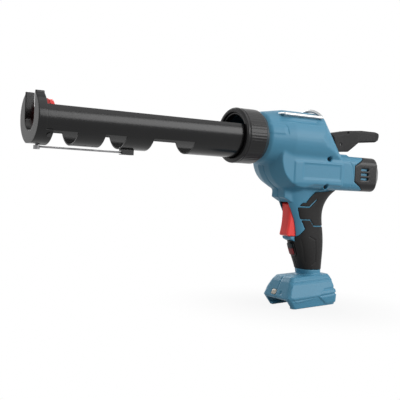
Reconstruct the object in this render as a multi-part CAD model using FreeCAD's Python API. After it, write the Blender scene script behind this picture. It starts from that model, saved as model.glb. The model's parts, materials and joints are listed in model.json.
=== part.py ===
"""Cordless caulking tool, in millimetres.

Everything is laid out from the nose plate's front face (x = 0, growing to the rear) and the barrel axis
(y = 0, z = 0, y growing to the tool's right). At the end every piece is moved so that the middle of the
battery rail under the foot is the origin. Lengths are millimetres and angles are degrees.
"""
import FreeCAD, Part
import math
import os

# Fits and cuts
overrun = 5.0            # how far a cut runs past the face that it opens
running_fit = 0.05       # radial room of a shaft in its bearing
seat_gap = 0.04          # room of a piece in its seat
air_gap = 0.5            # room between pieces that move past each other

# Cradle tube
tube_radius = 26.7
tube_wall = 1.6
mouth_angle = 62.3       # from straight up to the upper edge of each rail
rail_angle = 120.5       # from straight up to the lower edge of each rail
cradle_reach = 247.7     # nose plate front to collar front
saddle_1_front = 44.7
saddle_1_length = 30.5
saddle_2_front = 100.0
saddle_2_length = 32.0
saddle_3_length = 63.2
flange_step = 2.3
flange_length = 4.2

# Nose plate
plate_thickness = 9.8
plate_top = 25.9
plate_ear = 1.6          # least thickness of each prong beside the slot, at its top
plate_bottom = 27.0
slot_half_width = 13.9
skirt_wall = 1.5
skirt_length = 8.0
skirt_angle = 62.0       # from straight down to each end of the skirt
plate_seat = 3.0         # how deep the tube sits in the plate
nose_screw_angle = 50.0
nose_screw_radius = 1.2
nose_screw_head = 2.4
nose_screw_head_height = 0.9

# Piercing wire
wire_radius = 1.0
wire_drop = 29.8
wire_reach = 104.0
wire_pivot_x = 9.0
wire_pin_radius = 1.5
wire_eye_radius = 3.2
wire_eye_height = 2.6
wire_pin_head = 1.4
wire_pin_depth = 4.0
clip_setback = 3.5       # saddle 2's front edge to the clip
clip_length = 14.0
clip_half_width = 4.0
clip_floor = 1.4

# Rod, pusher and pull handle
rod_radius = 7.0
rack_pitch_drop = 5.0
rod_stroke = 222.0
rack_margin = 10.0
pusher_gap = 7.2
pusher_radius = 20.0
pusher_rim = 4.0
pusher_taper = 3.0
pusher_hub_radius = 10.4
pusher_hub = 12.0
pusher_recess_radius = 8.0
pusher_recess = 1.5
pusher_screw_radius = 2.5
pusher_screw_head = 5.0
pusher_screw_head_height = 2.6
pusher_screw_length = 14.0
pull_gap = 1.8           # rear of the case to the foot of the handle's front
pull_length = 81.7
pull_height = 30.3
pull_drop = 9.9
pull_half_width = 12.0
pull_front_half_width = 9.5
pull_edge = 1.8
pull_facet_drop = 5.5    # how far the front's slanted facets come down its sides
pull_facet_inset = 6.0   # how far they come in over its top
pull_socket = 20.0       # how deep the rod sits in the handle
pull_pin_radius = 1.5
pull_pin_setback = 5.0
# corners of the side outline, as shares of the handle's length and height
pull_outline_shares = ((0.0, 0.78), (0.33, 0.94), (0.59, 1.0), (0.89, 1.0), (0.985, 0.95), (1.0, 0.83),
                       (0.975, 0.65), (0.90, 0.55), (0.54, 0.46), (0.33, 0.04), (0.114, 0.0))
pull_low_share = 0.114   # where the foot of the slanted front stands along the handle
pull_neck_share = 0.22   # how far the narrow front runs
pull_bar_share = 0.50    # where the full width starts
pull_tip_share = 0.90    # where the full width ends

# Collar and threaded sleeve
collar_length = 29.1
collar_wall = 3.3
collar_lip = 4.3
collar_bead = 5.5
collar_bead_round = 2.0
rib_count = 60
rib_depth = 0.45
sleeve_wall = 4.5
sleeve_depth = 8.7       # how far the sleeve runs inside the housing

# Spur gears between rack and cross shaft
gear_module = 1.5
rack_pinion_teeth = 16
drive_teeth = 12
gear_face = 10.0
pressure_angle = 20.0
addendum_share = 0.8
dedendum_share = 1.15
flank_shares = (0.0, 0.36, 0.68, 1.0)
tooth_slack = 0.26
shaft_radius = 4.0
bearing_wall = 3.0

# Bevel pair
bevel_module = 1.6
bevel_teeth = 20
bevel_face_share = 0.31  # of the cone, from the large end
bevel_slack = 0.5
bevel_hub = 4.0
clutch_wall = 3.2

# Planetary stages
stage_module = 0.5
sun_teeth = 12
planet_teeth = 18
stage_slack = 0.14
stage_face = 8.5
planets = 3
carrier_plate = 3.5
planet_pin_radius = 1.5
ring_wall = 1.0
output_bearing_wall = 5.0
output_bearing_length = 6.0

# Motor
motor_radius = 17.8
motor_length = 50.0
motor_wall = 1.6
motor_nose_radius = 9.0
motor_nose = 4.4
motor_end_wall = 4.0
motor_shaft_radius = 2.5
motor_tip_radius = 1.5
motor_bearing_wall = 3.4
armature_radius = 14.0
armature_length = 34.0
commutator_radius = 7.0
commutator_length = 6.0
bell_length = 7.0
fan_radius = 16.0
fan_length = 7.0
fan_plate = 1.4
fan_hub_radius = 6.0
fan_blades = 9
fan_blade = 1.2

# Gear frames
frame_offset = 22.0
frame_plate = 3.0
frame_arm = 16.0
frame_margin = 5.0
pillar_drop = 11.0
pillar_radius = 2.5

# Housing
wall = 2.4
neck_length = 4.0
neck_radius = 30.6
case_front_radius = 30.7
case_shoulder_radius = 36.0
case_shoulder = 36.7     # case front to where it is nearly at its full size
case_rear_radius = 36.5
case_length = 92.0
case_round = 35.4        # radius of the rounded rear of the upper case, seen from above
case_round_setback = 80.8    # case front to the middle of that round, at the barrel's axis
case_round_lean = 34.5   # how far the round leans back towards its foot
bulkhead = 15.0
gear_setback = 42.7      # front of the case to the gear centres
disc_radius = 40.5
disc_flat_radius = 33.5
disc_flat_half = 11.0
disc_setback = 11.5
disc_drop = 24.0
motor_case_half_width = 30.5
motor_case_half_height = 21.9
motor_case_lift = 0.7    # middle of the case above the motor's axis
motor_case_round = 10.0
motor_case_tail = 87.0   # motor front to the rear face of the cap
tail_chamfer = 12.0
tail_inset = 9.0         # how much the sides come in at the tail
tail_drop = 8.6          # how much the top and the bottom come in there
step_reach = 32.0        # motor front to the rear of the raised step on the case's top
step_rise = 2.2
panel_front = 3.0        # gear centres to the raised side panel, forward
panel_length = 77.0
panel_height = 27.5
panel_rise = 1.1
panel_recess = 0.8
panel_margin = 6.5
panel_lift = 2.6
scallop_radius = 8.5
scallop_depth = 1.4
scallop_angle = 51.0
scallop_front = 22.0
scallop_length = 53.0
catch_pad_rise = 0.6
catch_pad_length = 21.0
catch_pad_low = 4.8
catch_pad_high = 16.5

# Rear cap
cap_front = 54.0         # motor front to the cap's upper and lower edge
cap_side_reach = 16.5    # how much further forward the cap's sides run
cap_slant = 9.3          # height of the slanted stretch between the two
cap_side_half_height = 10.0
cap_gap = 0.3
vent_count = 3
vent_pitch = 5.9
vent_height = 3.0
vent_length = 13.0
vent_setback = 11.0
cap_screw_offset = 21.0
cap_screw_lift = 12.0    # of one cap screw above the case's middle, and of the other below it
spigot_wall = 1.4        # rim of the housing inside the cap
spigot_length = 21.0
spigot_root = 9.6        # how far the rim is rooted in the housing
spigot_slot_share = 0.45 # of a vent's height
cap_screw_radius = 1.5
cap_screw_head = 3.0
cap_screw_head_height = 2.5
cap_wall = 2.4

# Handle and grip
handle_setback = 14.0    # gear centres to the handle's front reference
handle_top = 56.0
handle_length = 118.0
handle_depth = 51.0
handle_half_width = 17.0
oval_points = 20         # points round each cross section
oval_share = 0.86        # below 1 the ovals have flatter sides
# each row: level down the handle, front edge, back edge, half width
handle_shares = ((0.0, -0.31, 1.62, 1.12), (0.10, -0.28, 1.20, 1.06), (0.195, -0.20, 1.05, 1.0),
                 (0.31, -0.05, 0.99, 0.97), (0.46, 0.06, 1.03, 0.97), (0.61, 0.14, 1.06, 1.0),
                 (0.77, 0.29, 1.05, 0.94), (0.91, 0.43, 1.03, 0.91), (1.0, 0.46, 1.03, 0.91))
grip_thickness = 1.8
grip_rise = 0.35
# corners of each pad, as shares of the handle's depth and length from its front reference and top
upper_pad_shares = ((0.54, 0.06), (0.40, 0.117), (0.29, 0.177), (0.20, 0.177), (0.08, 0.223), (0.18, 0.35),
                    (0.46, 0.35), (0.58, 0.415), (2.0, 0.415), (2.0, 0.0))
lower_pad_shares = ((0.22, 0.362), (0.455, 0.362), (0.575, 0.427), (2.0, 0.427), (2.0, 0.886), (-0.4, 0.886),
                    (-0.4, 0.580), (0.035, 0.580), (0.20, 0.525), (0.335, 0.452))
pad_line_shares = ((-0.1, 0.213), (0.402, 0.213), (0.625, 0.129), (0.637, 0.139), (0.412, 0.227), (-0.1, 0.227))
trigger_top = 77.0
trigger_height = 42.0
trigger_half_width = 8.3
trigger_front = 7.5      # how far the trigger stands in front of the handle's reference
trigger_dish = 2.6
trigger_depth = 21.0
trigger_travel = 6.0
trigger_round = 4.0
lip_height = 4.0
lip_front = 6.0
lip_length = 13.0
brow_front = 17.0        # block above the trigger, in front of the handle's reference
brow_length = 36.0
brow_half_width = 13.0
brow_top = 52.0
brow_slope = 5.5
switch_length = 21.0
switch_height = 34.0
switch_half_width = 9.0
switch_drop = 2.5
rib_thickness = 2.0
button_drop = 135.3
button_half_width = 3.5
button_half_height = 7.4
button_round = 2.2
button_rise = 1.2        # above the bezel
button_travel = 1.6
button_depth = 13.0      # handle's front reference to the button's rear face
bezel_wall = 2.0
bezel_rise = 0.7         # above the grip
bezel_depth = 15.0       # handle's front reference to the bezel's rear face

# Housing screws, as places from the motor's front and axis
screw_radius = 1.5
screw_head = 3.2
screw_head_height = 2.4
screw_sink = 6.5
screw_boss = 3.3
upper_screw_setback = -5.2
upper_screw_lift = 17.2
lower_screw_setback = -8.6
lower_screw_drop = 17.6
screw_reach = 12.0       # past the middle plane into the right half

# Hanging bail
bail_wire = 2.0
bail_radius = 38.9
bail_half_width = 25.5
bail_length = 57.5
bail_setback = 24.7
bail_pin = 13.0
bail_boss_radius = 5.0

# Foot, laid out level and then tilted about the middle of its rail
foot_setback = 1.5       # gear centres to the foot's front
foot_length = 79.0
foot_half_width = 26.5
foot_height = 40.0
foot_drop = 206.0
foot_tilt = 3.8
foot_corner = 5.0
# each row: level down the foot, front edge, back edge, half width
foot_shares = ((0.05, 0.17, 0.93, 0.66), (0.19, 0.112, 0.965, 0.81), (0.65, 0.0, 0.985, 1.0),
               (1.0, 0.12, 0.975, 0.95))
foot_rib_rise = 1.3
# side outlines of the raised panel and the two finger ribs, as shares of the foot's length and height
foot_panel_shares = ((0.10, 0.225), (0.90, 0.225), (0.96, 0.31), (0.96, 0.44), (0.72, 0.48), (0.62, 0.70),
                     (0.17, 0.80), (0.05, 0.60))
upper_rib_shares = ((0.70, 0.52), (1.2, 0.50), (1.2, 0.60), (0.64, 0.64))
lower_rib_shares = ((0.63, 0.70), (1.2, 0.66), (1.2, 0.86), (1.1, 0.93), (0.76, 0.93))
panel_wall = 3.0         # how deep the raised forms are rooted in the foot
foot_panel_rise = 0.7
slot_height = 11.0
battery_half_width = 20.0
slot_stop = 5.0
rail_lip = 3.0
ceiling = 3.0
terminal_length = 30.0
terminal_half_width = 13.0
terminal_drop = 7.0
terminal_rise = 3.0
terminal_setback = 30.0
contact_count = 3
contact_pitch = 8.0
contact_length = 18.0
contact_height = 5.0
contact_thickness = 0.8
board_length = 44.0
board_half_width = 16.0
board_thickness = 1.6
board_setback = 18.0
lens_half_width = 4.5
lens_offset = 5.5        # to the tool's right
lens_height = 6.0
dimple_radius = 2.0
dimple_depth = 5.2       # behind the foremost edge of the foot
dimple_offset = 8.5      # to the tool's left
lens_depth = 7.0
lens_lift = 16.0         # above the rail
lens_rise = 0.6
lead_radius = 0.9
lead_spread = 5.0
lead_bend = 12.0

# Places worked out from the sizes above
plate_radius = tube_radius + skirt_wall
skirt_end = plate_thickness + skirt_length
tube_bore = tube_radius - tube_wall
tube_front = plate_thickness - plate_seat
flange_radius = tube_radius + flange_step
flange_front = cradle_reach + collar_lip + air_gap
sleeve_front = flange_front + flange_length + air_gap
collar_bore = flange_radius + air_gap
collar_radius = collar_bore + collar_wall
collar_rear = cradle_reach + collar_length
neck_front = collar_rear + air_gap
case_front = neck_front + neck_length
sleeve_rear = case_front + sleeve_depth
case_rear = case_front + case_length
case_inside = case_front + bulkhead
pusher_front = plate_thickness + pusher_gap
pusher_rear = pusher_front + pusher_rim + pusher_taper + pusher_hub
rack_pinion_radius = gear_module * rack_pinion_teeth / 2
drive_radius = gear_module * drive_teeth / 2
gear_x = case_front + gear_setback
rack_pinion_z = -rack_pitch_drop - rack_pinion_radius
motor_z = rack_pinion_z - rack_pinion_radius - drive_radius
bevel_radius = bevel_module * bevel_teeth / 2
bevel_inner = bevel_radius * (1 - bevel_face_share)
bevel_back = bevel_radius + bevel_hub
ring_teeth = sun_teeth + 2 * planet_teeth
ring_radius = stage_module * ring_teeth / 2 + stage_module * dedendum_share + ring_wall
planet_offset = stage_module * (sun_teeth + planet_teeth) / 2
carrier_radius = planet_offset + planet_pin_radius * 2
output_bearing_x = gear_x + bevel_back + air_gap
carrier_2_x = output_bearing_x + output_bearing_length + air_gap
stage_2_x = carrier_2_x + carrier_plate + air_gap
carrier_1_x = stage_2_x + stage_face + air_gap
stage_1_x = carrier_1_x + carrier_plate + air_gap
ring_front = carrier_2_x
ring_rear = stage_1_x + stage_face + air_gap
motor_front = ring_rear + motor_nose
case_z = motor_z + motor_case_lift
motor_rear = motor_front + motor_length
bell_rear = motor_rear + bell_length
fan_x = bell_rear + air_gap
tail = motor_front + motor_case_tail
handle_x = gear_x + handle_setback
trigger_rear = handle_x - trigger_front + trigger_depth
switch_x = trigger_rear + trigger_travel + air_gap
switch_z = -trigger_top - switch_drop
foot_front = gear_x + foot_setback
foot_x = foot_front + foot_length / 2
slot_roof = -foot_drop + slot_height
round_x = case_front + case_round_setback
round_slope = math.tan(math.radians(case_round_lean))
round_rear = round_x + case_round
bush_bore = rod_radius + running_fit
bush_radius = rod_radius + bearing_wall + 2 * running_fit
bail_z = math.sqrt(bail_radius ** 2 - bail_half_width ** 2)
bail_x = case_front + bail_setback
pull_low_front = round_rear + round_slope * pull_drop + pull_gap
pull_front = pull_low_front - pull_low_share * pull_length
rod_rear = pull_front + pull_socket
pull_pin_x = rod_rear - pull_pin_setback
rear_bush_front = round_rear - wall - round_slope * (bush_radius + bearing_wall) - bearing_wall
upper_screw = (motor_front + upper_screw_setback, motor_z + upper_screw_lift)
lower_screw = (motor_front + lower_screw_setback, motor_z - lower_screw_drop)


def vec(x, y, z):
    """A point or direction."""
    return FreeCAD.Vector(x, y, z)


X = vec(1, 0, 0)
Y = vec(0, 1, 0)
Z = vec(0, 0, 1)


def box(x0, x1, y0, y1, z0, z1):
    """A block between two corners."""
    return Part.makeBox(x1 - x0, y1 - y0, z1 - z0, vec(x0, y0, z0))


def cylinder_x(x0, x1, radius, y=0, z=0):
    """A cylinder along the barrel's direction."""
    return Part.makeCylinder(radius, x1 - x0, vec(x0, y, z), X)


def cylinder_y(y0, y1, radius, x, z):
    """A cylinder across the tool."""
    return Part.makeCylinder(radius, y1 - y0, vec(x, y0, z), Y)


def cylinder_z(z0, z1, radius, x, y=0):
    """An upright cylinder."""
    return Part.makeCylinder(radius, z1 - z0, vec(x, y, z0), Z)


def tube_x(x0, x1, radius, bore, z=0):
    """A ring along the barrel's direction."""
    return cylinder_x(x0, x1, radius, 0, z).cut(cylinder_x(x0 - overrun, x1 + overrun, bore, 0, z))


def tube_y(y0, y1, radius, bore, x, z):
    """A ring across the tool."""
    return cylinder_y(y0, y1, radius, x, z).cut(cylinder_y(y0 - overrun, y1 + overrun, bore, x, z))


def solid_of(points):
    """A closed flat face through the points."""
    return Part.Face(Part.makePolygon(list(points) + [points[0]]))


def prism_y(points, y0, y1):
    """A side outline of (x, z) points carried across the tool."""
    return solid_of([vec(x, y0, z) for x, z in points]).extrude(Y * (y1 - y0))


def prism_x(points, x0, x1):
    """A cross section of (y, z) points carried along the tool."""
    return solid_of([vec(x0, y, z) for y, z in points]).extrude(X * (x1 - x0))


def turned_x(points, z=0):
    """A profile of (x, radius) points turned about the barrel's direction."""
    return solid_of([vec(x, 0, z + r) for x, r in points]).revolve(vec(0, 0, z), X, 360)


def turned_y(points, x, z):
    """A profile of (y, radius) points turned about an axis across the tool."""
    return solid_of([vec(x, y, z + r) for y, r in points]).revolve(vec(x, 0, z), Y, 360)


def fuse(shapes):
    """All shapes in one."""
    first = shapes[0]
    return first.multiFuse(shapes[1:]).removeSplitter() if len(shapes) > 1 else first


def both_sides(shape):
    """A shape and its mirror image across the middle plane."""
    return [shape, shape.mirror(vec(0, 0, 0), Y)]


def rounded_wire(half_a, half_b, corner, place):
    """A rounded rectangle; place turns flat (a, b) values into a point."""
    straight_a = half_a - corner
    straight_b = half_b - corner
    slant = corner * math.sqrt(0.5)
    edges = []
    for sa, sb in ((1, 1), (-1, 1), (-1, -1), (1, -1)):
        side = place(sa * half_a, sb * straight_b)
        top = place(sa * straight_a, sb * half_b)
        middle = place(sa * (straight_a + slant), sb * (straight_b + slant))
        ends = (side, top) if sa * sb > 0 else (top, side)
        edges.append(Part.Arc(ends[0], middle, ends[1]).toShape())
    corners = []
    for index, edge in enumerate(edges):
        following = edges[(index + 1) % len(edges)]
        corners.append(edge)
        corners.append(Part.LineSegment(edge.lastVertex().Point, following.firstVertex().Point).toShape())
    return Part.Wire(corners)


def wedge_x(angle_from, angle_to, x0, x1, reach):
    """A slice of a round bar between two angles measured from straight up."""
    steps = 12
    spread = angle_to - angle_from
    turns = [math.radians(angle_from + spread * step / steps) for step in range(steps + 1)]
    rim = [(reach * math.sin(turn), reach * math.cos(turn)) for turn in turns]
    return prism_x([(0, 0)] + rim, x0, x1)


def tube_along(points, radius):
    """A round wire through the points, with a ball at each bend."""
    pieces = []
    for start, end in zip(points, points[1:]):
        pieces.append(Part.makeCylinder(radius, (end - start).Length, start, end - start))
    for bend in points[1:-1]:
        pieces.append(Part.makeSphere(radius, bend))
    return fuse(pieces)


def involute(angle):
    """The involute function of an angle in radians."""
    return math.tan(angle) - angle


def gear_outline(teeth, module, slack, top_share, bottom_share, tooth_up):
    """Points (a, b) of a toothed outline whose angles run from +b towards +a."""
    pitch_radius = module * teeth / 2
    base_radius = pitch_radius * math.cos(math.radians(pressure_angle))
    root = pitch_radius - module * bottom_share
    tip = pitch_radius + module * top_share
    half_pitch = math.pi / teeth
    half_tooth = half_pitch / 2 - slack / (2 * pitch_radius) + involute(math.radians(pressure_angle))
    flank = []
    for share in flank_shares:
        radius = root + (tip - root) * share
        lean = math.acos(min(1.0, base_radius / radius))
        flank.append((radius, half_tooth - involute(lean)))
    shift = 0 if tooth_up else half_pitch
    points = []
    for tooth in range(teeth):
        middle = shift + 2 * half_pitch * tooth
        for radius, half in flank:
            points.append((radius * math.sin(middle - half), radius * math.cos(middle - half)))
        for radius, half in reversed(flank):
            points.append((radius * math.sin(middle + half), radius * math.cos(middle + half)))
    return points


def spur_gear_y(teeth, bore, x, z, tooth_up):
    """A spur gear on a shaft across the tool."""
    flat = gear_outline(teeth, gear_module, tooth_slack, addendum_share, dedendum_share, tooth_up)
    half = gear_face / 2
    blank = prism_y([(x + a, z + b) for a, b in flat], -half, half)
    return blank.cut(cylinder_y(-half - overrun, half + overrun, bore, x, z))


def stage_gear(teeth, x0, x1, y, z, tooth_up):
    """A small gear of the planetary stages, without its bore."""
    flat = gear_outline(teeth, stage_module, stage_slack, addendum_share, dedendum_share, tooth_up)
    return prism_x([(y + a, z + b) for a, b in flat], x0, x1)


def bevel_teeth_along(direction, across, tooth_up):
    """The toothed cone of one bevel wheel whose apex is at the gear centre."""
    flat = gear_outline(bevel_teeth, bevel_module, bevel_slack, addendum_share, dedendum_share, tooth_up)
    apex = vec(gear_x, 0, motor_z)
    rings = []
    for distance in (bevel_inner, bevel_radius):
        scale = distance / bevel_radius
        ring = [apex + direction * distance + across * (a * scale) + Z * (b * scale) for a, b in flat]
        rings.append(Part.makePolygon(ring + [ring[0]]))
    return Part.makeLoft(rings, True, True)


def cradle():
    """Half-open tube with two side rails, three saddles and the flange that the collar holds."""
    reach = tube_radius + overrun
    body = tube_x(tube_front, flange_front + flange_length, tube_radius, tube_bore)
    flange = tube_x(flange_front, flange_front + flange_length, flange_radius, tube_bore)
    mouth = wedge_x(-mouth_angle, mouth_angle, tube_front - overrun, cradle_reach + collar_lip / 2, reach)
    saddle_2_end = saddle_2_front + saddle_2_length
    windows = ((skirt_end, saddle_1_front), (saddle_1_front + saddle_1_length, saddle_2_front),
               (saddle_2_end, cradle_reach - saddle_3_length))
    openings = [wedge_x(rail_angle, 360 - rail_angle, start, end, reach) for start, end in windows]
    shape = body.fuse(flange).cut(mouth)
    for opening in openings:
        shape = shape.cut(opening)
    for angle in (-nose_screw_angle, nose_screw_angle):
        shape = shape.cut(nose_screw_hole(angle, nose_screw_radius))
    return shape.cut(wire_pin_hole()).removeSplitter()


def nose_screw_hole(angle, radius):
    """A bore through skirt and tube, at an angle from straight down."""
    middle = (plate_thickness + skirt_end) / 2
    bore = cylinder_z(-plate_radius - overrun, -tube_bore + tube_wall, radius, middle)
    return bore.rotate(vec(0, 0, 0), X, angle)


def wire_pin_hole():
    """Bore in plate and tube for the piercing wire's pin."""
    return cylinder_z(-plate_bottom - overrun, -plate_bottom + wire_pin_depth, wire_pin_radius + seat_gap,
                      wire_pivot_x)


def nose_screws():
    """Two screws that hold the plate's skirt to the tube."""
    middle = (plate_thickness + skirt_end) / 2
    screws = []
    for angle in (-nose_screw_angle, nose_screw_angle):
        shank = cylinder_z(-plate_radius, -tube_bore, nose_screw_radius - seat_gap, middle)
        head_top = -plate_radius - seat_gap
        head = cylinder_z(head_top - nose_screw_head_height, head_top, nose_screw_head, middle)
        neck = cylinder_z(head_top, -plate_radius, nose_screw_radius - seat_gap, middle)
        screws.append(fuse([shank, neck, head]).rotate(vec(0, 0, 0), X, angle))
    return Part.makeCompound(screws)


def nose_plate():
    """Front plate with the open slot for the nozzle and the skirt round the tube."""
    wide = plate_radius + overrun
    disc = cylinder_x(0, plate_thickness, plate_radius)
    slot = cylinder_x(-overrun, plate_thickness + overrun, slot_half_width)
    lane = box(-overrun, plate_thickness + overrun, -slot_half_width, slot_half_width, 0, wide)
    top = box(-overrun, skirt_end + overrun, -wide, wide, plate_top, wide)
    groove = tube_x(tube_front, plate_thickness + overrun, tube_radius + seat_gap, tube_bore - seat_gap)
    skirt = tube_x(plate_thickness, skirt_end, plate_radius, tube_radius + seat_gap)
    skirt = skirt.common(wedge_x(180 - skirt_angle, 180 + skirt_angle, 0, skirt_end, wide))
    ear = box(0, plate_thickness, slot_half_width, slot_half_width + plate_ear, tube_bore / 2, plate_top)
    shape = fuse([disc.cut(groove), skirt] + both_sides(ear)).cut(slot).cut(lane).cut(top)
    below = box(-overrun, plate_thickness, -wide, wide, -wide, -plate_bottom)
    shape = shape.cut(below)
    shape = shape.cut(wire_pin_hole())
    eye_room = cylinder_z(-plate_radius - overrun, -plate_bottom, wire_eye_radius + air_gap, wire_pivot_x)
    lane_room = box(wire_pivot_x, skirt_end + overrun, -wire_radius - air_gap, wire_eye_radius + air_gap,
                    -plate_radius - overrun, -tube_radius - seat_gap * 2)
    shape = shape.cut(eye_room).cut(lane_room)
    for angle in (-nose_screw_angle, nose_screw_angle):
        shape = shape.cut(nose_screw_hole(angle, nose_screw_radius))
    return shape.removeSplitter()


def wire_pivot():
    """Headed pin under the nose plate that the piercing wire turns on."""
    eye_bottom = -wire_drop - wire_eye_height / 2 - running_fit
    pin = cylinder_z(eye_bottom, -plate_bottom + wire_pin_depth, wire_pin_radius, wire_pivot_x)
    head = cylinder_z(eye_bottom - wire_pin_head, eye_bottom, wire_eye_radius, wire_pivot_x)
    return fuse([pin, head])


def piercing_wire():
    """Steel wire with an eye, folded back under the cradle."""
    half = wire_eye_height / 2
    eye = cylinder_z(-wire_drop - half, -wire_drop + half, wire_eye_radius, wire_pivot_x)
    wire = cylinder_x(wire_pivot_x, wire_pivot_x + wire_reach, wire_radius, 0, -wire_drop)
    bore = cylinder_z(-wire_drop - half - overrun, -wire_drop + half + overrun,
                      wire_pin_radius + running_fit, wire_pivot_x)
    return fuse([eye, wire]).cut(bore)


def wire_clip():
    """Block under the second saddle whose side notch holds the wire's free end."""
    front = saddle_2_front + clip_setback
    low = -wire_drop - wire_radius - clip_floor
    block = box(front, front + clip_length, -clip_half_width, clip_half_width, low, -tube_bore)
    saddle = cylinder_x(front - overrun, front + clip_length + overrun, tube_radius + seat_gap)
    notch_half = wire_radius + air_gap
    notch = box(front - overrun, front + clip_length + overrun, -notch_half, clip_half_width + overrun,
                -wire_drop - notch_half, -wire_drop + notch_half)
    return block.cut(saddle).cut(notch)


def rack_rod():
    """Round bar with rack teeth cut along its underside."""
    pitch = math.pi * gear_module
    lean = math.tan(math.radians(pressure_angle))
    tip = -rack_pitch_drop - gear_module * addendum_share
    root = -rack_pitch_drop + gear_module * dedendum_share
    half_gap = pitch / 4 + tooth_slack / 2
    tip_half = half_gap + gear_module * addendum_share * lean
    root_half = half_gap - gear_module * dedendum_share * lean
    first = -math.ceil((rod_stroke + rack_margin) / pitch)
    last = math.ceil(rack_margin / pitch)
    low = -rod_radius - overrun
    outline = [(gear_x + (first - 0.5) * pitch, low), (gear_x + (first - 0.5) * pitch, tip)]
    for gap in range(first, last + 1):
        middle = gear_x + gap * pitch
        outline += [(middle - tip_half, tip), (middle - root_half, root)]
        outline += [(middle + root_half, root), (middle + tip_half, tip)]
    outline += [(gear_x + (last + 0.5) * pitch, tip), (gear_x + (last + 0.5) * pitch, low)]
    bar = cylinder_x(pusher_front + pusher_recess + pusher_rim, rod_rear, rod_radius)
    bar = bar.cut(prism_y(outline, -rod_radius - overrun, rod_radius + overrun))
    screw_front = pusher_front + pusher_recess
    bar = bar.cut(cylinder_x(screw_front, screw_front + pusher_screw_length + air_gap,
                             pusher_screw_radius + seat_gap))
    return bar.cut(cylinder_y(-rod_radius - overrun, rod_radius + overrun, pull_pin_radius + seat_gap,
                              pull_pin_x, 0))


def pusher():
    """Red piston on the front of the rod."""
    rim_end = pusher_front + pusher_rim
    taper_end = rim_end + pusher_taper
    profile = [(pusher_front, 0), (pusher_front, pusher_radius), (rim_end, pusher_radius),
               (taper_end, pusher_hub_radius), (pusher_rear, pusher_hub_radius), (pusher_rear, 0)]
    recess = cylinder_x(pusher_front - overrun, pusher_front + pusher_recess, pusher_recess_radius)
    rod_seat = pusher_front + pusher_recess + pusher_rim
    socket = cylinder_x(rod_seat, pusher_rear + overrun, rod_radius + seat_gap)
    screw = cylinder_x(pusher_front, rod_seat + overrun, pusher_screw_radius + seat_gap)
    return turned_x(profile).cut(recess).cut(socket).cut(screw)


def pusher_screw():
    """Screw that holds the piston on the rod."""
    seat = pusher_front + pusher_recess - seat_gap
    head = cylinder_x(seat - pusher_screw_head_height, seat, pusher_screw_head)
    shank = cylinder_x(seat, seat + pusher_screw_length, pusher_screw_radius)
    return fuse([head, shank])


def pull_place(along, up):
    """A point of the pull handle's side, from shares of its length and height."""
    return (pull_front + along * pull_length, -pull_drop + up * pull_height)


def pull_facet():
    """Wedge that slants the left upper edge of the handle's front."""
    front_x, front_top = pull_place(*pull_outline_shares[0])
    rise_x, rise_top = pull_place(*pull_outline_shares[1])
    half = pull_half_width
    rings = []
    for x, top, half_width in ((front_x - overrun, front_top, pull_front_half_width),
                               (rise_x, rise_top, half)):
        low = top - pull_facet_drop
        inner = pull_facet_inset - half_width
        outer = -half_width - overrun
        ring = [vec(x, outer, low), vec(x, -half_width, low), vec(x, inner, top),
                vec(x, inner, top + overrun), vec(x, outer, top + overrun)]
        rings.append(Part.makePolygon(ring + [ring[0]]))
    return Part.makeLoft(rings, True, True)


def pull_handle():
    """Faceted handle on the rear end of the rod, narrow in front and wide where fingers hold it."""
    outline = [pull_place(*shares) for shares in pull_outline_shares]
    block = prism_y(outline, -pull_half_width, pull_half_width)
    core = pull_half_width - pull_edge
    block = block.makeFillet(pull_edge, [edge for edge in block.Edges if is_side_edge(edge, core)])
    plan = [(pull_front - overrun, pull_front_half_width),
            (pull_front + pull_neck_share * pull_length, pull_front_half_width),
            (pull_front + pull_bar_share * pull_length, pull_half_width),
            (pull_front + pull_tip_share * pull_length, pull_half_width),
            (pull_front + pull_length, pull_front_half_width)]
    corners = plan + [(x, -y) for x, y in reversed(plan)]
    low = -pull_drop - overrun
    flat = solid_of([vec(x, y, low) for x, y in corners])
    block = block.common(flat.extrude(Z * (pull_height + overrun * 2)))
    for facet in both_sides(pull_facet()):
        block = block.cut(facet)
    socket = cylinder_x(pull_front - pull_length, rod_rear + seat_gap, rod_radius + seat_gap)
    pin = cylinder_y(-pull_half_width - overrun, pull_half_width + overrun, pull_pin_radius + seat_gap,
                     pull_pin_x, 0)
    return block.cut(socket).cut(pin)


def is_side_edge(edge, offset):
    """Whether an edge lies wholly on one side face of a prism across the tool."""
    sides = [vertex.Y for vertex in edge.Vertexes]
    return min(sides) > offset or max(sides) < -offset


def handle_pin():
    """Cross pin through the pull handle and the rod."""
    half = pull_front_half_width - pull_edge / 2
    return cylinder_y(-half, half, pull_pin_radius, pull_pin_x, 0)


def collar():
    """Ribbed nut that holds the cradle's flange."""
    ribs = []
    for step in range(2 * rib_count):
        radius = collar_radius - rib_depth * (step % 2)
        turn = math.pi * step / rib_count
        ribs.append((radius * math.sin(turn), radius * math.cos(turn)))
    bead_end = cradle_reach + collar_bead
    bead = cylinder_x(cradle_reach, bead_end, collar_radius + rib_depth / 2)
    front_edges = [edge for edge in bead.Edges if edge.BoundBox.XMax < cradle_reach + seat_gap]
    bead = bead.makeFillet(collar_bead_round, front_edges)
    body = prism_x(ribs, bead_end, collar_rear)
    shape = bead.fuse(body)
    lip = cylinder_x(cradle_reach - overrun, collar_rear + overrun, tube_radius + air_gap)
    bore = cylinder_x(cradle_reach + collar_lip, collar_rear + overrun, collar_bore)
    return shape.cut(lip).cut(bore)


def front_sleeve():
    """Threaded ring in the front of the housing that the collar screws on."""
    body = cylinder_x(sleeve_front, sleeve_rear, flange_radius - seat_gap)
    return body.cut(cylinder_x(sleeve_front - overrun, sleeve_rear + overrun, flange_radius - sleeve_wall))


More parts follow.
